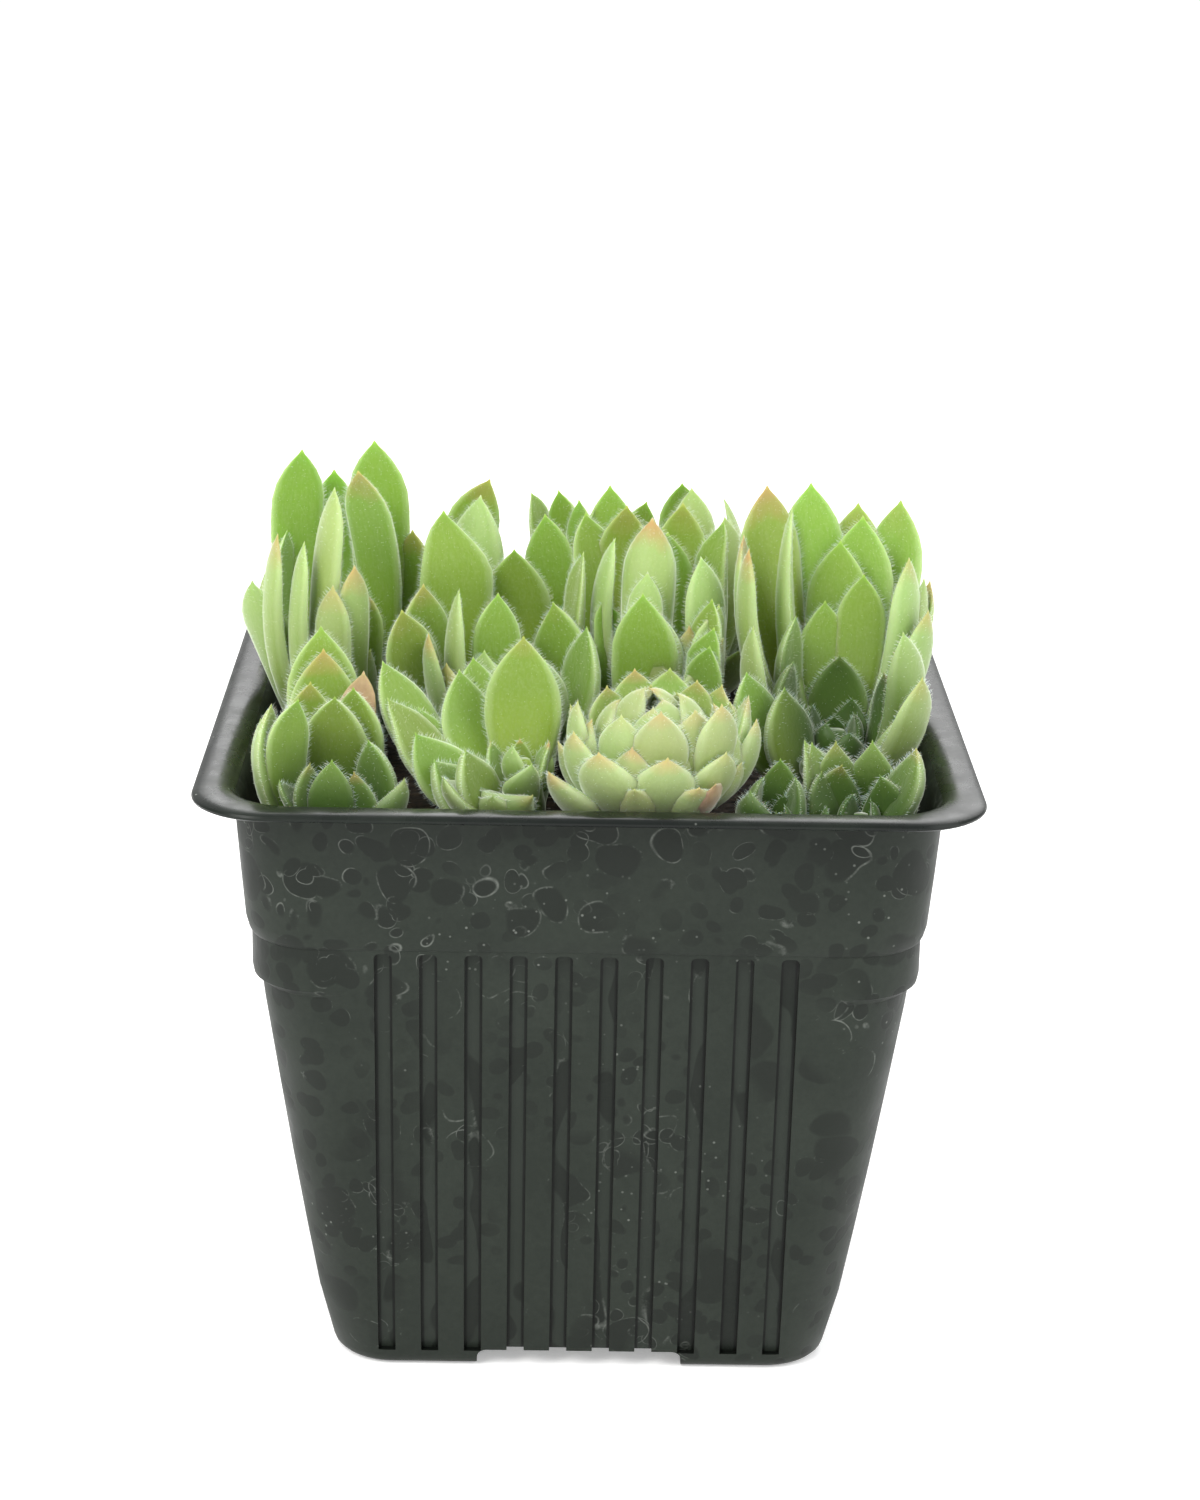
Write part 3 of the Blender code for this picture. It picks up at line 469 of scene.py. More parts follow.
def potPlastic(look):
    n = Nodes("potPlastic")
    grain = n.times(n.maths("SUBTRACT", n.noise(1100, 4, rough=0.7), 0.5), 0.5)
    mottle = n.maths("ADD", n.noise(70, 5, rough=0.6), grain)
    base = n.mix(n.ramp(mottle, [(0.34, 0.0), (0.68, 1.0)]), look["plastic"], look["pale"])
    collar = n.spread(n.height(), *look["collar"])
    # warped places, so that the patches of dried water aren't round
    wobble = n.noise(150.0, 1.0, output="Color")
    warped = n.add("ShaderNodeVectorMath", {"operation": "MULTIPLY_ADD"}, i0=wobble,
                   i1=(look["warp"],) * 3, i2=n.place()).outputs[0]
    small = n.cells(300, warped)
    large = n.cells(150, warped)
    here = n.ramp(n.maths("ADD", n.noise(38, 2), n.times(collar, 0.10)), [(0.46, 0.0), (0.55, 1.0)])
    elsewhere = n.ramp(n.maths("ADD", n.noise(52, 2), n.times(collar, 0.12)), [(0.52, 0.0), (0.60, 1.0)])
    smallPatch = n.times(n.ramp(small, [(0.36, 1.0), (0.42, 0.0)]), here)
    largePatch = n.times(n.ramp(large, [(0.40, 1.0), (0.45, 0.0)]), elsewhere)
    patches = n.maths("MAXIMUM", smallPatch, largePatch)
    base = n.mix(n.times(patches, look["patchShare"]), base, look["patch"])
    # the thin pale edge that a dried drop leaves, broken along its length
    smallRing = n.ramp(small, [(0.385, 0.0), (0.41, 1.0), (0.44, 0.0)])
    largeRing = n.ramp(large, [(0.415, 0.0), (0.435, 1.0), (0.455, 0.0)])
    breaks = n.maths("ADD", n.noise(85, 6, rough=0.7), n.times(collar, 0.05))
    broken = n.ramp(breaks, [(0.57, 0.0), (0.68, 1.0)])
    marks = n.times(n.maths("MAXIMUM", n.times(smallRing, here), largeRing), broken)
    # painted light: a channel's floor is paler, to offset the shade of its recess, with dark wet stretches and
    # short water lines at their ends
    floor = n.attribute("channelFloor")
    base = n.mix(n.times(floor, look["channelLightShare"]), base, look["channel"])
    stretched = n.add("ShaderNodeVectorMath", {"operation": "MULTIPLY"}, i0=n.place(), i1=look["wetScale"])
    wet = n.noise(1.0, 1, vector=stretched.outputs[0])
    wetHere = n.times(n.ramp(wet, [(0.54, 0.0), (0.56, 1.0)]), floor)
    wetEdge = n.times(n.ramp(wet, [(0.53, 0.0), (0.548, 1.0), (0.566, 0.0)]), floor)
    base = n.mix(n.times(wetHere, look["wetShare"]), base, look["patch"])
    marks = n.maths("ADD", marks, n.times(wetEdge, broken), True)
    speck = n.ramp(n.cells(700), [(0.07, 1.0), (0.15, 0.0)])
    marks = n.maths("ADD", marks, n.times(speck, n.ramp(n.noise(60, 3), [(0.55, 0.0), (0.66, 0.9)])), True)
    base = n.mix(n.times(marks, look["markShare"]), base, look["mark"])
    # painted shade: dark side walls, and a dark line along both sides of the floor, where a channel's recess
    # lies in shade
    line = n.ramp(n.maths("ABSOLUTE", n.attribute("channelAcross")), [(0.60, 0.0), (0.74, 1.0)])
    grooveShade = n.maths("MAXIMUM", n.attribute("channelSide"), n.times(line, floor))
    base = n.mix(n.times(grooveShade, look["grooveShadeShare"]), base, look["deepShade"])
    rough = n.ramp(n.noise(140, 4), [(0.3, look["rough"][0]), (0.7, look["rough"][1])])
    relief = n.maths("ADD", n.noise(320, 4), n.times(patches, -0.25))
    return n.paint({"Base Color": base, "Roughness": n.maths("ADD", rough, n.times(marks, 0.3), True),
                    "Normal": n.bump(relief, 0.18, 0.0003), "Specular IOR Level": look["specular"]})


def rimPlastic(look):
    # the rim is painted darker, a painted dark reflection along its front, and is rubbed smooth, with a few
    # specks of soil
    n = Nodes("rimPlastic")
    base = n.mix(n.ramp(n.noise(90, 4), [(0.4, 0.0), (0.7, 1.0)]), look["rimDarkReflection"], look["plastic"])
    speck = n.ramp(n.cells(600), [(0.05, 1.0), (0.11, 0.0)])
    speckHere = n.times(speck, n.ramp(n.noise(60, 3), [(0.54, 0.0), (0.62, 0.8)]))
    low, high = look["rimRough"]
    return n.paint({"Base Color": n.mix(speckHere, base, look["mark"]),
                    "Roughness": n.ramp(n.noise(150, 5, rough=0.65), [(0.35, low), (0.7, high)]),
                    "Normal": n.bump(n.noise(420, 3), 0.10, 0.0003), "Specular IOR Level": look["rimSpecular"]})


# Soil: crumbly peat

soilLook = {
    "dark": (0.012, 0.008, 0.006),
    "brown": (0.060, 0.038, 0.022),
    "perlite": (0.55, 0.52, 0.46),
    "perliteShare": 0.35,
    "rough": 0.95,
}


def peat(look):
    n = Nodes("peat")
    base = n.mix(n.ramp(n.noise(900, 6, rough=0.7), [(0.4, 0.0), (0.65, 1.0)]), look["dark"], look["brown"])
    grit = n.ramp(n.cells(420), [(0.08, 1.0), (0.14, 0.0)])
    crumbs = n.maths("ADD", n.noise(700, 6, rough=0.7), n.cells(500))
    return n.paint({"Base Color": n.mix(n.times(grit, look["perliteShare"]), base, look["perlite"]),
                    "Roughness": look["rough"], "Normal": n.bump(crumbs, 0.9, 0.0012)})


# Leaves. Each point of a leaf carries two colour attributes: leafPlace holds the way along (red), the way
# across (green, 0.5 at the midrib) and which face (blue, 1 on top); leafLook holds a draw for the leaf (red),
# how pink its tip is (green) and how withered it is (blue). A third attribute holds painted shade: 1 far down
# in the heart of a rosette.

leafLooks = {
    "leafGreen": {
        "base": (0.29, 0.46, 0.014), "middle": (0.25, 0.41, 0.026), "upper": (0.22, 0.37, 0.038),
        "back": (0.31, 0.44, 0.13), "edge": (0.56, 0.68, 0.36), "pink": (0.43, 0.27, 0.10),
        # painted shade colour for the heart of a rosette
        "deepShade": (0.030, 0.075, 0.005),
        # leaves stand in each other's shade low down, and light comes through the tall ones: height (m), share
        "shade": [(0.082, 0.70), (0.090, 0.84), (0.099, 1.0), (0.110, 1.16)],
    },
    "leafPale": {
        "base": (0.25, 0.38, 0.045), "middle": (0.28, 0.40, 0.075), "upper": (0.25, 0.38, 0.07),
        "back": (0.36, 0.45, 0.17), "edge": (0.56, 0.64, 0.38), "pink": (0.47, 0.29, 0.13),
        # painted shade colour for the heart of a rosette
        "deepShade": (0.045, 0.11, 0.01),
        "shade": [(0.080, 1.02), (0.096, 0.96)],
    },
}
witheredLook = {"tan": (0.56, 0.40, 0.24), "dark": (0.22, 0.13, 0.06)}
# what both kinds of leaf share
leafFinish = {
    "down": (0.75, 0.85, 0.55), "downShare": 0.10, "streakShare": 0.25, "edgeShare": 0.62,
    "speck": (0.07, 0.10, 0.03), "heartShadeShare": 0.95,
    "luckValue": (0.82, 0.98), "luckHue": (0.487, 0.510), "brightness": 1.95,
    "sockets": {
        "Roughness": 0.52, "Specular IOR Level": 0.35,
        "Subsurface Weight": 0.35, "Subsurface Radius": (0.6, 1.0, 0.25), "Subsurface Scale": 0.0016,
        "Sheen Weight": 0.7, "Sheen Roughness": 0.42, "Sheen Tint": (0.93, 1.0, 0.86),
    },
}
hairSockets = {"Base Color": (0.86, 0.93, 0.78), "Roughness": 0.45, "Subsurface Weight": 0.4,
               "Subsurface Scale": 0.001}


def leafSkin(name, look, shared):
    n = Nodes(name)
    place = n.attribute("leafPlace", "Color")
    along, across, top = n.add("ShaderNodeSeparateColor", Color=place).outputs
    luck, blush, dead = n.add("ShaderNodeSeparateColor", Color=n.attribute("leafLook", "Color")).outputs
    body = n.mix(n.ramp(along, [(0.10, 0.0), (0.75, 1.0)]), look["base"], look["middle"])
    topSide = n.mix(n.ramp(along, [(0.25, 0.0), (0.7, 1.0)]), look["base"], look["upper"])
    backSide = n.mix(n.ramp(along, [(0.15, 0.0), (0.8, 1.0)]), body, look["back"])
    colour = n.mix(n.ramp(top, [(0.45, 0.0), (0.55, 1.0)]), backSide, topSide)
    # faint lengthwise streaks and fine downy speckle
    streaks = n.noise(26, 3, vector=place)
    streaked = n.times(n.ramp(streaks, [(0.4, 0.0), (0.7, 1.0)]), shared["streakShare"])
    colour = n.mix(streaked, colour, look["back"])
    down = n.ramp(n.noise(2600, 3, rough=0.7), [(0.5, 0.0), (0.75, 1.0)])
    colour = n.mix(n.times(down, shared["downShare"]), colour, shared["down"])
    # brightness by height and by the leaf's own draw; a ramp stops at 1, so it holds half the share
    first, last = look["shade"][0][0], look["shade"][-1][0]
    shade = n.ramp(n.spread(n.height(), first, last),
                   [((z - first) / (last - first), share / 2) for z, share in look["shade"]])
    value, hue = (n.ramp(luck, list(enumerate(shared[key]))) for key in ("luckValue", "luckHue"))
    colour = n.add("ShaderNodeHueSaturation", Hue=hue, Color=colour,
                   Value=n.times(n.times(shade, value), shared["brightness"])).outputs[0]
    # pale downy margin, then the coloured tip
    off = n.maths("ABSOLUTE", n.maths("SUBTRACT", n.times(across, 2.0), 1.0))
    margin = n.ramp(off, [(0.74, 0.0), (0.92, 0.45), (1.0, 1.0)])
    colour = n.mix(n.times(margin, shared["edgeShare"]), colour, look["edge"])
    ragged = n.times(n.maths("SUBTRACT", n.noise(300, 3), 0.5), 0.12)
    tipped = n.ramp(n.maths("ADD", along, ragged), [(0.88, 0.0), (0.99, 1.0)])
    colour = n.mix(n.times(tipped, blush), colour, look["pink"])
    speck = n.ramp(n.cells(330), [(0.035, 1.0), (0.06, 0.0)])
    speckHere = n.times(speck, n.ramp(n.noise(80, 1), [(0.62, 0.0), (0.64, 0.8)]))
    colour = n.mix(speckHere, colour, shared["speck"])
    # painted shade: the hollow at the heart of a rosette is darkened to a dark green
    colour = n.mix(n.times(n.attribute("leafHeartShade"), shared["heartShadeShare"]), colour, look["deepShade"])
    crumpled = n.mix(n.noise(500, 5, rough=0.7), witheredLook["dark"], witheredLook["tan"])
    relief = n.maths("ADD", n.noise(1500, 3), n.times(streaks, 0.6))
    n.paint(shared["sockets"])
    return n.paint({"Base Color": n.mix(dead, colour, crumpled), "Normal": n.bump(relief, 0.22, 0.0003)})


# Where each rosette stands, in mm, and the rule and the placed leaves that make it

goldenAngle = 137.508
growth = {
    "leafDrop": 3.0,         # the outermost leaf leaves the stem this far under the crown
    "rise": 1.5,             # and the innermost one this far over it
    "leafFloor": 73.85,      # leaves stay over this height, just clear of the soil
    "cellGap": 0.16,         # each rosette's share of the gap to its neighbour
    "wallLean": 0.4,         # how far leaves may lean over the rim for each unit of height
    "wallReach": 43.4,       # where they end at the height of the rim's inner edge
    "rimInner": 83.5,
    "spreadLimit": 49.8,
    "potCorner": 8.0,
    # how far a draw changes a leaf: its turn and lean in degrees, its length and width as shares
    "turnDraw": 5, "leanDraw": 4, "lengthDraw": 0.07, "widthDraw": 0.06,
    "leastLean": 6, "mostLean": 78,
    # leaves younger than this share grow longer, wider and more upright where they close over the heart
    "fillUpTo": 0.56, "fillWiden": 1.6, "fillLift": 45, "fill": {"chick_front": 0.34},
    "rootAngle": 26, "tipAngle": 24,               # how far a placed leaf bends from its chord, in degrees
}


def rosette(centre, crown, room, count, length, width, spread, bend=22, start=0, lift=(90, 0.0),
            lean=(270, 0), seed=1, inner=0.3, thick=0.26, stem=4.0, height=25, arch=0.92, leaves=(), dry=()):
    return dict(centre=centre, crown=crown, room=room, count=count, length=length, width=width,
                spread=spread, bend=bend, start=start, lift=lift, lean=lean, seed=seed,
                inner=inner, thick=thick, stem=stem, height=height, arch=arch, leaves=leaves, dry=dry)


rosettes = {
    "chick_front": rosette(
        (8.5, -30.0), 83.5, 14, 22, 12.5, 6.4, 36, 40, 20, (90, 0.0), (270, 6), 1, 0.58, 0.46, 5.0, 15, 0.66,
        leaves=[
            (1, -43.5, 90.7, 8.4, 245), (9.5, -45, 90.5, 7.8, 272), (8.7, -40, 95, 7.4, 268),
            (16.3, -38.5, 95.6, 6.6, 310), (3.8, -38.5, 94, 6.6, 250), (-2.1, -38, 91.6, 6.8, 218),
            (-5, -33.5, 89, 6.2, 195), (-1.6, -31.5, 93.6, 6.6, 195), (21, -33, 92, 6.6, 340),
            (20.6, -27, 93.4, 6.6, 5), (18.5, -21.5, 93.6, 6.4, 40), (13.9, -21, 93.4, 6.6, 65),
            (10.4, -19, 94.4, 7.2, 85), (5.8, -19, 94.2, 7.2, 100), (2.2, -21.5, 92.6, 6.8, 120),
            (7.8, -24, 93.6, 6.6, 95), (-3, -26.5, 91.6, 6.4, 160), (13, -38, 94.6, 6.4, 290),
            (17, -40.5, 90, 6.6, 305), (-5.5, -40, 87, 8.5, 215), (21.5, -39, 87.5, 6, 330),
            (5.5, -45.2, 86, 7.6, 262), (13.5, -44.6, 86.5, 7.4, 285)],
        dry=[(18.2, -44.5, 86.4, 5.5, 320)]),
    "hen_right": rosette(
        (33, -13), 80.5, 16, 12, 11, 7.0, 48, 20, 95, (85, 0.30), (270, 6), 22, 0.34, height=34,
        leaves=[
            (24, 8, 112.6, 9.5, 115), (30.3, 12, 112.1, 9.5, 100), (27, 0, 111.4, 6.5, 175),
            (20.6, 0, 107.6, 6.5, 165), (21, -6, 107.3, 6, 195), (37.3, 8, 108.5, 10, 70),
            (43, 14, 109.4, 9.5, 55), (37.3, 16, 108.4, 8.5, 80), (43, 0, 104.8, 7.5, 325),
            (45.5, 3, 101.3, 6.5, 335), (37, 0, 102.4, 7, 80), (31.9, 0, 98.6, 8, 100),
            (27.5, -7, 98.3, 6.5, 150), (21.5, -13, 98.5, 6.5, 200), (46, -3, 98.2, 6.5, 320),
            (41, -16, 98.9, 7, 312), (43, -23, 94.9, 6.5, 312), (44, -21, 91.9, 7.5, 310),
            (33.6, -7, 93, 8.5, 88), (27, -12, 93.5, 6.5, 150), (25.5, -19, 92, 8.5, 130),
            (20.5, -18.4, 93.8, 8.3, 130), (39, -13, 92.5, 6.5, 30), (47, 6, 100, 6.5, 20),
            (34, 4, 106, 9, 75)]),
    "hen_front_left": rosette(
        (-32, -38), 77.0, 10, 6, 9, 5.6, 44, 22, 62, (90, 0.2), (270, 8), 3, 0.5, height=18, stem=3.4,
        leaves=[
            (-35, -19, 100, 9.5, 95), (-34.4, -25, 97.2, 9.5, 92), (-35.7, -30.5, 95, 7.5, 100),
            (-32.3, -35, 94.6, 9, 88), (-40.1, -38, 94.4, 6.5, 160), (-36.7, -38, 95, 6.5, 130),
            (-30.2, -31, 94.2, 8, 70), (-35.5, -42, 87.3, 5.5, 140), (-32.4, -41.5, 87.9, 6, 90),
            (-29.5, -42, 86.5, 6, 70), (-40, -43, 84.8, 4.5, 170), (-42, -31, 90, 6.5, 150),
            (-28, -36, 89, 7, 50), (-22.5, -42, 85, 8, 330), (-25, -27, 86, 8, 30)],
        dry=[(-28.4, -27.0, 95.8, 5.0, 80)]),
    "hen_tall_left": rosette(
        (-33, 5), 77.5, 14, 8, 20, 7.4, 36, 22, 20, (105, 0.25), (270, 8), 4, 0.4, height=38,
        leaves=[
            (-30, 14, 116.5, 8.8, 75), (-40, 14, 115, 7.8, 115), (-36, 20, 111, 7, 100),
            (-31.8, 7, 114, 7.5, 60), (-34.5, -1, 113.5, 6.5, 215), (-42, -3, 107.5, 6, 200),
            (-38.3, -5, 107, 5.5, 200), (-47.9, 1, 98.8, 7.5, 240), (-34.2, -9, 102, 6, 235),
            (-31.2, -6, 104, 5, 310), (-29, -1, 99, 7.5, 70), (-24.5, 14, 104, 8.5, 60),
            (-42, 12, 104, 7, 160), (-46, 10, 98, 7, 170), (-27, -6, 92, 7.5, 320), (-38, -16, 86, 8.5, 250),
            (-28, -16, 86, 8.5, 290), (-38, 19, 88, 8, 110), (-27, 20, 90, 8, 75)]),
    "hen_open": rosette(
        (-8.5, -35), 83.0, 6, 7, 9, 5.6, 50, 12, 100, (125, 0.1), (100, 0), 105, 0.5, height=20, stem=3.0,
        leaves=[
            (-26.5, -30, 93, 8.5, 150), (-27, -25, 96.5, 8.5, 140), (-8.7, -26, 100.4, 10, 88),
            (-17, -22.5, 94.8, 9, 125), (-15.4, -16.5, 95, 8, 110), (-15.6, -41, 90, 7.5, 150),
            (-19.5, -39, 87.9, 8.5, 160), (-18.2, -43, 86.5, 7, 200), (-22, -36.5, 90.6, 8, 130),
            (-2.3, -16, 91.3, 9, 60), (-4.5, -43.5, 84.6, 8.5, 270), (-12, -43.5, 84.4, 8, 250),
            (-22, -27, 91, 8, 140)]),
    "hen_centre": rosette(
        (-11, 3), 77.5, 15, 10, 15, 7.4, 52, 18, 10, (95, 0.2), (270, 6), 26, 0.4, height=28,
        leaves=[
            (-21.4, -12, 96.6, 6, 200), (-17.5, -8, 101.6, 7, 190), (-22.5, -3, 100.8, 8.5, 125),
            (-12.4, -6, 100.6, 7, 110), (-5, 0, 97.8, 9.5, 60), (-0.5, -8, 96.6, 9, 30),
            (-22.6, 8, 108.4, 10.5, 105), (-18.6, 10, 104.3, 6.5, 130), (-16.5, 7, 103.7, 9.5, 110),
            (-10.5, 9, 102.8, 10.5, 90), (1.3, 4, 103.8, 6, 20), (-6, -12, 93, 8.5, 290),
            (-14, -12, 94, 8, 240), (-25, -11, 99, 8, 120), (-19, -12, 92, 8, 230), (-17, -19, 86, 8.5, 250),
            (-7, -19, 86, 8.5, 280), (-17, 19, 88, 8.5, 110), (-6, 19, 88, 8, 75)]),
    "hen_back": rosette(
        (9, 3), 77.5, 15, 6, 14, 7.0, 46, 22, 30, (90, 0.15), (270, 6), 27, 0.4, height=30,
        leaves=[
            (-3, 13, 106.9, 9.5, 120), (6.4, -9, 101.6, 9, 88), (9.5, -7, 98.3, 6.5, 260),
            (13.3, -6, 96.5, 6.5, 290), (2.7, 20, 109.4, 8, 110), (0.7, 19, 106, 5.5, 130),
            (8.3, 4, 108.8, 7.5, 260), (2.2, 3, 106, 7, 190), (7.6, -3, 103, 5, 265), (15.1, -2, 105, 7, 310),
            (10.7, 13, 104.3, 7.5, 90), (18.3, -7, 99.8, 6, 310), (18.8, -10, 96, 6, 320),
            (16.8, -8, 100.6, 6.5, 40), (17.2, -12, 98, 6, 50), (15.8, -14, 96, 6, 60), (20, 14, 106, 8, 30),
            (13, 20, 107, 8, 80), (15, -11, 93, 7, 300), (-1, 0, 98, 8, 100), (5, 14, 108, 8, 95),
            (4, -17, 86, 8.5, 260), (13, -17, 86, 8.5, 285), (17, 19, 92, 8, 60)]),
    "hen_back_left": rosette(
        (-12, 32), 77.5, 12, 14, 21, 8.2, 64, 20, 0, (90, 0.05), (270, 4), 8, 0.36, height=28,
        leaves=[
            (-14.5, 32, 107.2, 8, 100), (-15.6, 25, 106.4, 9.5, 240), (-8.4, 34, 104.8, 6, 150),
            (-6.4, 26, 103.6, 8, 70), (-4.5, 34, 105.2, 6, 60), (-1.2, 31, 104.6, 6, 45)]),
    "hen_back_right": rosette(
        (36, 33), 77.5, 12, 18, 24, 8.6, 62, 24, 0, (60, 0.0), (270, 4), 11, height=28),
    "hen_far_left": rosette(
        (-34, 35), 77.5, 12, 18, 21, 8.6, 64, 26, 0, (120, 0.0), (270, 0), 12, height=22),
    "hen_far_back": rosette(
        (13, 35), 77.5, 11, 12, 21, 8.0, 64, 20, 0, (120, 0.0), (270, 0), 13, 0.36, height=28,
        leaves=[
            (4.1, 31, 103.6, 8, 150), (8.3, 37, 103, 7.5, 110), (13.5, 39, 105.3, 7, 90),
            (14.5, 28, 107.3, 6.5, 265), (19.4, 34, 104.5, 6.5, 0), (19.3, 27, 103.4, 6.5, 300)]),
    "chick_front_right": rosette(
        (23.3, -39.0), 77.0, 7, 11, 9.0, 5.4, 46, 24, 0, (90, 0.25), (270, 8), 49, 0.45, 0.3, 2.6, 10,
        leaves=[
            (24.5, -34.5, 87.3, 5.5, 90), (21.5, -38, 86, 5, 160), (27, -38, 86, 5.5, 20),
            (19.3, -43.5, 84.5, 6.5, 230)]),
    "chick_corner": rosette(
        (34.5, -37.0), 77.0, 10, 9, 9.0, 6.4, 46, 24, 0, (90, 0.2), (270, 8), 10, 0.45, 0.3, 3.0, 12,
        leaves=[
            (36, -29.5, 88.8, 8.5, 80), (31.3, -29.5, 88.6, 8, 105), (27, -29, 88.2, 7.5, 130),
            (32, -34.5, 86, 7, 95), (28.8, -35, 85.4, 7, 130), (37, -37, 85.9, 7, 60),
            (42.4, -38, 88.4, 8, 20), (24.4, -27, 89.3, 6.5, 140)]),
}

# where two rosettes meet: how far from the first one's centre, and how far that limit is turned,
# in degrees, so that no straight slit shows from the front
borders = {
    ("hen_front_left", "hen_open"): (9.0, 16),
    ("hen_front_left", "hen_tall_left"): (21.0, 0),
    ("hen_tall_left", "hen_centre"): (7.0, -20),
    ("hen_tall_left", "hen_open"): (24.0, 0),
    ("hen_open", "hen_centre"): (20.0, 0),
    ("hen_open", "hen_back"): (21.0, 0),
    ("hen_open", "chick_front"): (3.6, -29),
    ("hen_centre", "hen_back"): (11.0, 14),
    ("chick_front", "hen_back"): (14.5, 0),
    ("chick_corner", "hen_right"): (8.5, 0),
    ("chick_front", "chick_front_right"): (12.5, 0),
    ("hen_back", "hen_right"): (12.0, 29),
    ("hen_right", "hen_back_right"): (31.0, 0),
    ("hen_far_back", "hen_back_right"): (12.0, 24),
}


def cellPlanes(name):
    # the flat limits that keep a rosette off its neighbours, the pot and the soil
    mine = rosettes[name]
    cx, cy = mine["centre"]
    planes = []
    for otherName, other in rosettes.items():
        if otherName == name:
            continue
        dx, dy = other["centre"][0] - cx, other["centre"][1] - cy
        distance = math.hypot(dx, dy)
        byRoom = distance * mine["room"] / (mine["room"] + other["room"])
        share, turn = borders.get((name, otherName), (byRoom, 0))
        if (otherName, name) in borders:
            share, turn = distance - borders[otherName, name][0], borders[otherName, name][1]
        slope = 0.5 * (other["height"] - mine["height"]) / (other["height"] + mine["height"])
        way = Vector((dx / distance, dy / distance, 0))
        meeting = Vector((cx, cy, (mine["crown"] + other["crown"]) / 2)) + way * share
        c, s = math.cos(math.radians(turn)), math.sin(math.radians(turn))
        normal = Vector((way.x * c - way.y * s, way.x * s + way.y * c, slope))
        reach = normal.dot(meeting) - growth["cellGap"]
        planes.append((normal / normal.length, reach / normal.length))
    arc = growth["wallReach"] - growth["potCorner"]
    for i in range(16):
        angle = i * math.pi / 8
        c, s = math.cos(angle), math.sin(angle)
        rim = arc * (abs(c) + abs(s)) + growth["potCorner"]
        normal = Vector((c, s, -growth["wallLean"]))
        planes.append((normal.normalized(), (rim - growth["wallLean"] * growth["rimInner"]) / normal.length))
        if i % 4 == 0:
            planes.append((Vector((c, s, 0)), growth["spreadLimit"]))
    planes.append((Vector((0, 0, -1)), -growth["leafFloor"]))
    return planes


def ruleLeaves(name):
    # leaves on the golden angle, from the innermost to the outermost
    plan = rosettes[name]
    draw = random.Random(plan["seed"])
    cx, cy = plan["centre"]
    for i in range(plan["count"]):
        age = (i + 0.5) / plan["count"]
        jitter = [draw.uniform(-1, 1) for _ in range(4)]
        azimuth = math.radians(plan["start"] + i * goldenAngle + growth["turnDraw"] * jitter[0])
        towards = math.cos(azimuth - math.radians(plan["lift"][0]))
        grown = plan["inner"] + (1 - plan["inner"]) * age ** 0.8
        length = plan["length"] * grown * (1 + plan["lift"][1] * towards * age)
        width = plan["width"] * (0.45 + 0.55 * age ** 0.6)
        filling = growth["fill"].get(name, 0.0) * max(0.0, 1 - age / growth["fillUpTo"])
        length *= (1 + growth["lengthDraw"] * jitter[1]) * (1 + filling)
        width *= (1 + growth["widthDraw"] * jitter[2]) * (1 + growth["fillWiden"] * filling)
        leaning = plan["lean"][1] * math.cos(azimuth - math.radians(plan["lean"][0]))
        upright = growth["leastLean"] + growth["leanDraw"] * jitter[3] - growth["fillLift"] * filling
        mean = math.radians(upright + (plan["spread"] - growth["leastLean"]) * age + leaning)
        bend = math.radians(plan["bend"])
        out = Vector((math.cos(azimuth), math.sin(azimuth), 0))
        rise = growth["rise"] - (growth["leafDrop"] + growth["rise"]) * age
        root = Vector((cx, cy, plan["crown"] + rise)) + out * plan["stem"] * (0.2 + 0.6 * age)
        tip = root + length * (out * math.sin(mean) + Vector((0, 0, math.cos(mean))))
        leanRoot = min(math.radians(growth["mostLean"]), mean + bend * (0.7 + 0.6 * age))
        yield dict(root=root, tip=tip, azimuth=azimuth, width=width, thick=plan["thick"] * width + 0.4,
                   leanRoot=leanRoot, leanTip=mean - bend, arch=plan["arch"], toward=out, dead=0.0)


def placedLeaves(name, key):
    # the outer leaves that give the plant its outline, and the withered ones
    plan = rosettes[name]
    draw = random.Random(plan["seed"] + 200)
    cx, cy = plan["centre"]
    for x, y, z, width, facing in plan[key]:
        tip = Vector((x, y, z))
        azimuth = math.radians(facing)
        reach = Vector((x - cx, y - cy, 0))
        outward = Vector((math.cos(azimuth), math.sin(azimuth), 0))
        toward = reach.normalized() if reach.length > 2.0 else outward
        root = Vector((cx, cy, plan["crown"] - growth["leafDrop"]))
        root += toward * plan["stem"] * draw.uniform(0.6, 0.9)
        root.z += draw.uniform(-0.4, 1.2)
        chord = tip - root
        mean = math.atan2(math.hypot(chord.x, chord.y), chord.z)
        leanRoot = min(math.radians(growth["mostLean"]), mean + math.radians(growth["rootAngle"]))
        yield dict(root=root, tip=tip, azimuth=azimuth, width=width, thick=0.36 * width + 0.6,
                   leanRoot=leanRoot, leanTip=mean - math.radians(growth["tipAngle"]), arch=plan["arch"],
                   toward=toward, dead=1.0 if key == "dry" else 0.0)


leafShape = {
    "along": (0.02, 0.12, 0.24, 0.36, 0.48, 0.57, 0.65, 0.72, 0.79, 0.85, 0.90, 0.94, 0.97, 0.99),
    "round": 14,
    "cup": 0.16,          # how far the edges rise over the midrib, as a share of the half width
    "mucro": 0.35,        # length of the small sharp point, mm
    "handle": 0.38,       # how far the midrib keeps its direction at both ends, as a share of the chord
    "plain": 0.62,        # share of the leaves whose tips are green
    "ballTips": (0.15, 0.6),       # least tip colour of a blunt leaf, and what its draw adds
}


def archStart(leaf):
    # where the leaf is widest and its pointed arch begins
    return 1 - min(0.6, leaf["arch"] * leaf["width"] / (leaf["tip"] - leaf["root"]).length)


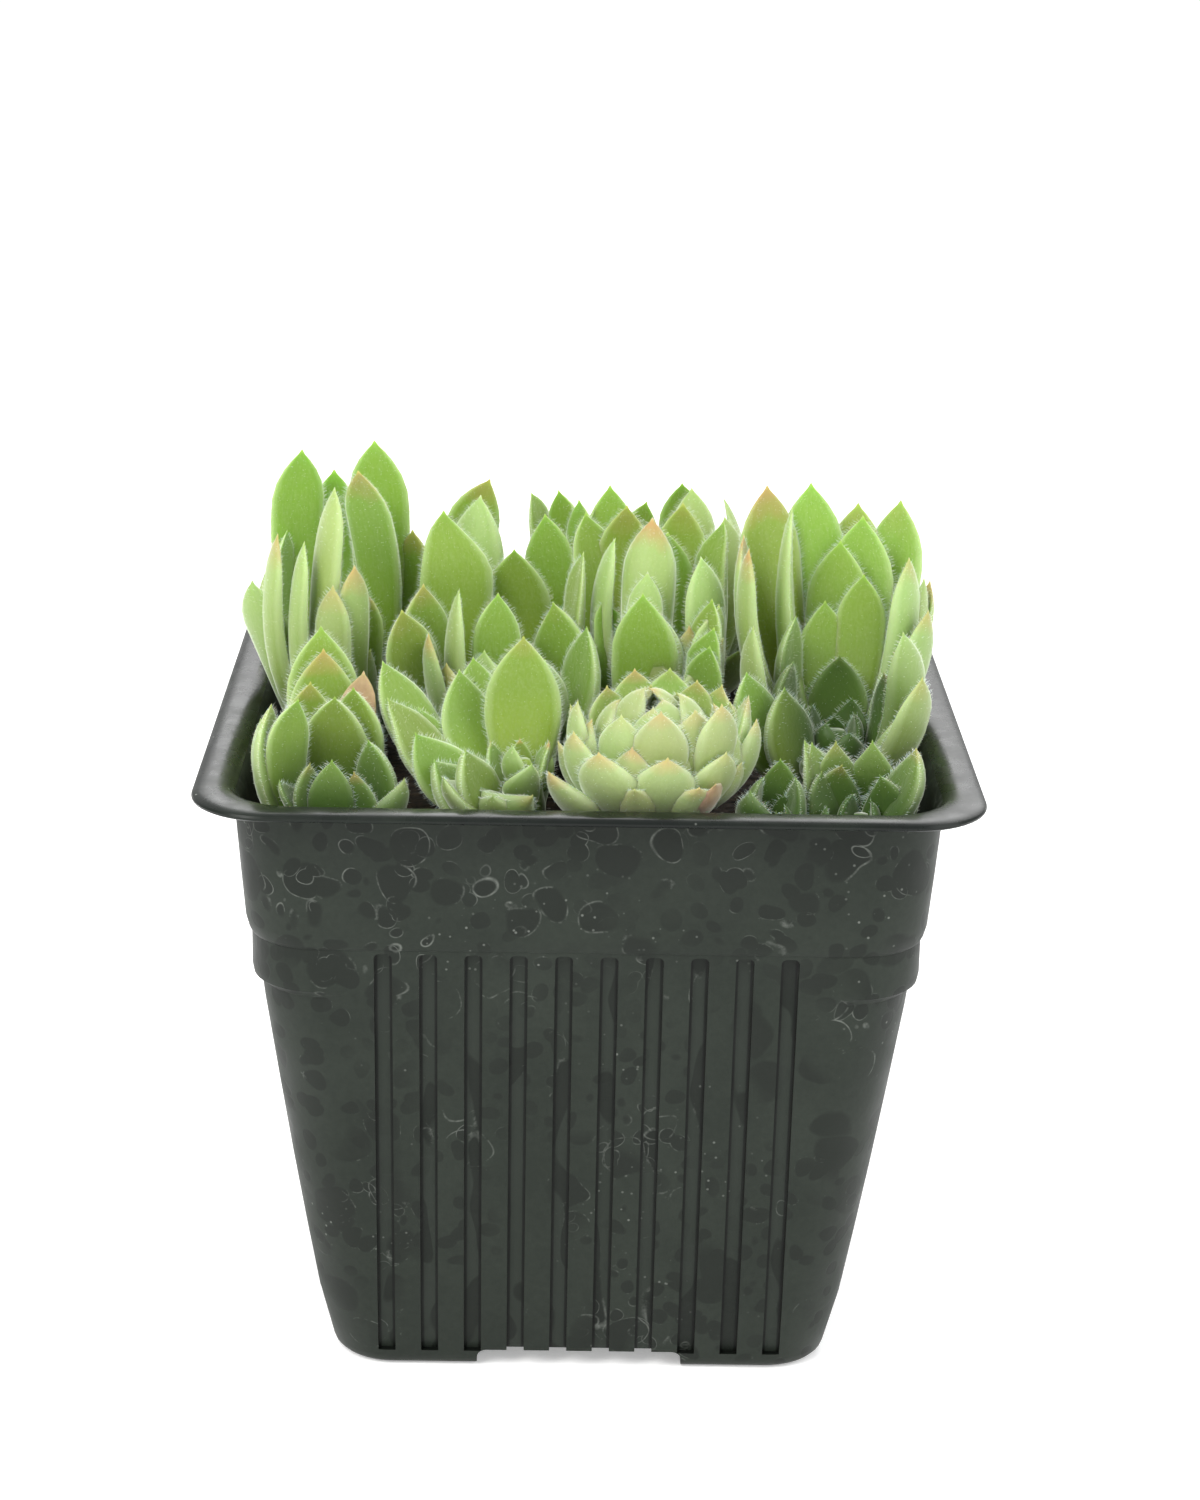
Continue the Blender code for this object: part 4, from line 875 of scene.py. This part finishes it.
def widthAt(leaf, s):
    shoulder = archStart(leaf)
    if s < shoulder:
        return 0.38 + 0.62 * math.sin(s / shoulder * math.pi / 2) ** 1.35
    return max(0.0, 1 - ((s - shoulder) / (1 - shoulder)) ** 2.3)


def thicknessAt(s):
    return max(0.0, 1 - s ** 3) ** 0.7 * (0.75 + 0.25 * min(1.0, s * 3))


def leafFrame(leaf, s):
    up = Vector((0, 0, 1))
    out = leaf["toward"]
    handle = leafShape["handle"] * (leaf["tip"] - leaf["root"]).length
    a, d = leaf["root"], leaf["tip"]
    b = a + handle * (out * math.sin(leaf["leanRoot"]) + up * math.cos(leaf["leanRoot"]))
    c = d - handle * (out * math.sin(leaf["leanTip"]) + up * math.cos(leaf["leanTip"]))
    r = 1 - s
    point = a * r ** 3 + b * 3 * r * r * s + c * 3 * r * s * s + d * s ** 3
    along = ((b - a) * r * r + (c - b) * 2 * r * s + (d - c) * s * s).normalized()
    back = Vector((math.cos(leaf["azimuth"]), math.sin(leaf["azimuth"]), -0.15))
    face = -(back - along * back.dot(along)).normalized()
    return point, along.cross(face), face, along


def leafRing(leaf, s, shape):
    # points round one section, from one edge over the top to the other edge and back underneath
    point, across, face, _ = leafFrame(leaf, s)
    half = max(0.08, leaf["width"] * widthAt(leaf, s) / 2)
    depth = max(0.10, leaf["thick"] * thicknessAt(s))
    ring, places = [], []
    for k in range(shape["round"]):
        angle = 2 * math.pi * k / shape["round"]
        x = -math.cos(angle)
        level = math.sin(angle)
        lift = shape["cup"] * half * (x * x - 0.35)
        if level >= 0:
            offset = 0.18 * depth * (1 - 1.8 * x ** 6)
        else:
            offset = -0.14 * depth - 0.7 * depth * (-level) ** 0.85
        ring.append(point + across * (half * x) + face * (offset + lift))
        places.append((s, 0.5 + x / 2, 0.5 + 0.5 * level))
    return ring, places


def clearShifts(stops, rings, planes, slack):
    # The way each section moves so that the leaf clears every limit it crosses. It leans over from its root,
    # and its tip follows half way, as crowded leaves bend clear of each other.
    shifts = [Vector() for _ in rings]
    for _ in range(3):
        for normal, distance in planes:
            overs = [max(normal.dot(point) for point in ring) + normal.dot(shift) - distance + slack
                     for ring, shift in zip(rings, shifts)]
            if max(overs) <= 0:
                continue
            for i, s in enumerate(stops):
                push = 0.0
                for over, at in zip(overs, stops):
                    if over > 0:
                        push = max(push, over * (s / at if s < at else 1 - 0.5 * (s - at) / (1.001 - at)))
                shifts[i] -= normal * push
    return shifts


hairs = {
    "gap": 0.20,          # mm between two hairs of the edge
    "length": 0.80,
    "radius": 0.030,
    "downPerMm": 0.9,     # short hairs on each square mm of the faces
    "downLength": 0.36,
    "downRadius": 0.022,
}


def addSpike(mesh, root, tip, radius):
    # a hair: a closed three-sided spike
    along = (tip - root).normalized()
    side = along.orthogonal().normalized()
    other = along.cross(side)
    ring = [mesh.verts.new((root + (side * math.cos(a) + other * math.sin(a)) * radius) * mm)
            for a in (0, 2.0944, 4.18879)]
    end = mesh.verts.new(tip * mm)
    mesh.faces.new(ring[::-1])
    for i in range(3):
        mesh.faces.new((ring[i], ring[(i + 1) % 3], end))


def addRing(mesh, layers, points, places, look):
    row = []
    for point, place in zip(points, places):
        vertex = mesh.verts.new(point * mm)
        vertex[layers[0]] = (*place, 1.0)
        vertex[layers[1]] = look
        row.append(vertex)
    return row


def addLeaf(mesh, layers, leaf, planes, slack, draw, hairMesh):
    shape = leafShape
    luck = draw.random()
    blush = draw.random()
    if leaf["arch"] > 0.7:
        blush = max(0.0, (blush - shape["plain"]) / (1 - shape["plain"]))
    else:
        blush = shape["ballTips"][0] + shape["ballTips"][1] * blush
    look = (luck, blush, leaf["dead"], 1.0)
    stops = shape["along"]
    sections = [leafRing(leaf, s, shape) for s in stops]
    along = leafFrame(leaf, 1.0)[3]
    tip = leaf["tip"] + along * shape["mucro"]
    shifts = clearShifts((*stops, 1.0), [ring for ring, _ in sections] + [[tip]], planes, slack)
    rings = [([point + shift for point in ring], places) for (ring, places), shift in zip(sections, shifts)]
    rows = [addRing(mesh, layers, ring, places, look) for ring, places in rings]
    end, = addRing(mesh, layers, [tip + shifts[-1]], [(1.0, 0.5, 0.5)], look)
    for low, high in zip(rows, rows[1:]):
        bridge(mesh, low, high)
    count = shape["round"]
    for k in range(count):
        mesh.faces.new((rows[-1][k], rows[-1][(k + 1) % count], end))
    mesh.faces.new(rows[0][::-1])
    if not leaf["dead"]:
        addEdgeHairs(hairMesh, leaf, rings, draw)
        addDown(hairMesh, leaf, rings, draw)


def addEdgeHairs(mesh, leaf, rings, draw):
    count = leafShape["round"]
    stops = leafShape["along"]
    for edge, sign in ((0, -1), (count // 2, 1)):
        for i in range(3, len(stops) - 1):
            a, b = rings[i][0][edge], rings[i + 1][0][edge]
            steps = max(1, int((b - a).length / hairs["gap"]))
            for step in range(steps):
                t = (step + draw.random()) / steps
                s = stops[i] + (stops[i + 1] - stops[i]) * t
                _, across, face, along = leafFrame(leaf, s)
                root = a.lerp(b, t)
                way = across * sign + along * draw.uniform(0.3, 0.9) + face * draw.uniform(-0.35, 0.45)
                length = hairs["length"] * draw.uniform(0.6, 1.15)
                addSpike(mesh, root - across * sign * 0.08, root + way.normalized() * length, hairs["radius"])


def addDown(mesh, leaf, rings, draw):
    # short hairs standing on both faces
    stops, count = leafShape["along"], leafShape["round"]
    total = int(hairs["downPerMm"] * leaf["width"] * (leaf["tip"] - leaf["root"]).length * 1.3)
    for _ in range(total):
        i = draw.randrange(3, len(stops) - 2)
        k = draw.randrange(count)
        t, u = draw.random(), draw.random()
        low = rings[i][0][k].lerp(rings[i][0][(k + 1) % count], u)
        high = rings[i + 1][0][k].lerp(rings[i + 1][0][(k + 1) % count], u)
        root = low.lerp(high, t)
        around = rings[i][0][(k + 1) % count] - rings[i][0][k]
        along = high - low
        normal = around.cross(along).normalized()
        if normal.dot(root - rings[i][0][(k + count // 2) % count]) < 0:
            normal = -normal
        way = (normal + along.normalized() * draw.uniform(0.1, 0.7)).normalized()
        length = hairs["downLength"] * draw.uniform(0.6, 1.2)
        addSpike(mesh, root - normal * 0.04, root + way * length, hairs["downRadius"])


# painted shade darkens the green towards a rosette's heart, in mm from its axis and from the crown up
heartShade = {
    "full": 5.5, "fade": 7.5, "depth": 8.0, "usual": 14.0,
    "height": {"hen_right": 19.0, "chick_front": -6.0, "hen_open": 5.0},
}


def makeRosette(name, finish, hairFinish):
    plan = rosettes[name]
    planes = cellPlanes(name)
    slackDraw = random.Random(plan["seed"] + 100)
    draw = random.Random(plan["seed"] + 300)
    mesh = bmesh.new()
    layers = [mesh.verts.layers.float_color.new(key) for key in ("leafPlace", "leafLook")]
    heartShadeLayer = mesh.verts.layers.float.new("leafHeartShade")
    hairMesh = bmesh.new()
    leaves = [*ruleLeaves(name), *placedLeaves(name, "leaves"), *placedLeaves(name, "dry")]
    for leaf in leaves:
        addLeaf(mesh, layers, leaf, planes, slackDraw.uniform(0.0, 0.3), draw, hairMesh)
    addStem(mesh, layers, plan)
    x, y = plan["centre"]
    # painted shade on each point, by how far down in the heart of the rosette it lies
    shadeTop = plan["crown"] + heartShade["height"].get(name, heartShade["usual"])
    for vertex in mesh.verts:
        aside = math.hypot(vertex.co.x / mm - x, vertex.co.y / mm - y)
        near = 1 - max(0.0, aside - heartShade["full"]) / heartShade["fade"]
        deepShade = (shadeTop - vertex.co.z / mm) / heartShade["depth"]
        vertex[heartShadeLayer] = max(0.0, min(1.0, near)) * max(0.0, min(1.0, deepShade))
    piece = finished(name + "_leaves", mesh, finish)
    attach(piece, "root")
    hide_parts(name)
    down = finished(name + "_hairs", hairMesh, hairFinish)
    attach(down, "root")
    return len(leaves)


def addStem(mesh, layers, plan):
    (x, y), crown, sides = plan["centre"], plan["crown"], 16
    rows = []
    for z, share in ((63.0, 1.0), (crown - 2, 1.0), (crown + 1, 0.8), (crown + 4, 0.3)):
        radius = plan["stem"] * share
        points = [Vector((x + radius * math.cos(2 * math.pi * k / sides),
                          y + radius * math.sin(2 * math.pi * k / sides), z)) for k in range(sides)]
        rows.append(addRing(mesh, layers, points, [(0.05, 0.5, 0.0)] * sides, (0.3, 0.0, 0.0, 1.0)))
    for low, high in zip(rows, rows[1:]):
        bridge(mesh, low, high)
    mesh.faces.new(rows[0][::-1])
    mesh.faces.new(rows[-1])


def finished(name, mesh, finish):
    piece = looseObject(name, mesh)
    piece.data.materials.append(finish)
    piece.data.shade_smooth()
    bpy.context.scene.collection.objects.link(piece)
    return piece


def paintNode(node, finish):
    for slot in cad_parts[node].material_slots:
        slot.material = finish


makePot(potShape, potPlastic(potLook), rimPlastic(potLook))
paintNode("soil", peat(soilLook))
print("pot and soil finished")
green, pale = (leafSkin(name, leafLooks[name], leafFinish) for name in ("leafGreen", "leafPale"))
hairFinish = Nodes("leafHair").paint(hairSockets)
total = 0
for name in rosettes:
    if name == "chick_front":
        total += makeRosette(name, pale, hairFinish)
    else:
        total += makeRosette(name, green, hairFinish)
print("leaves:", total)
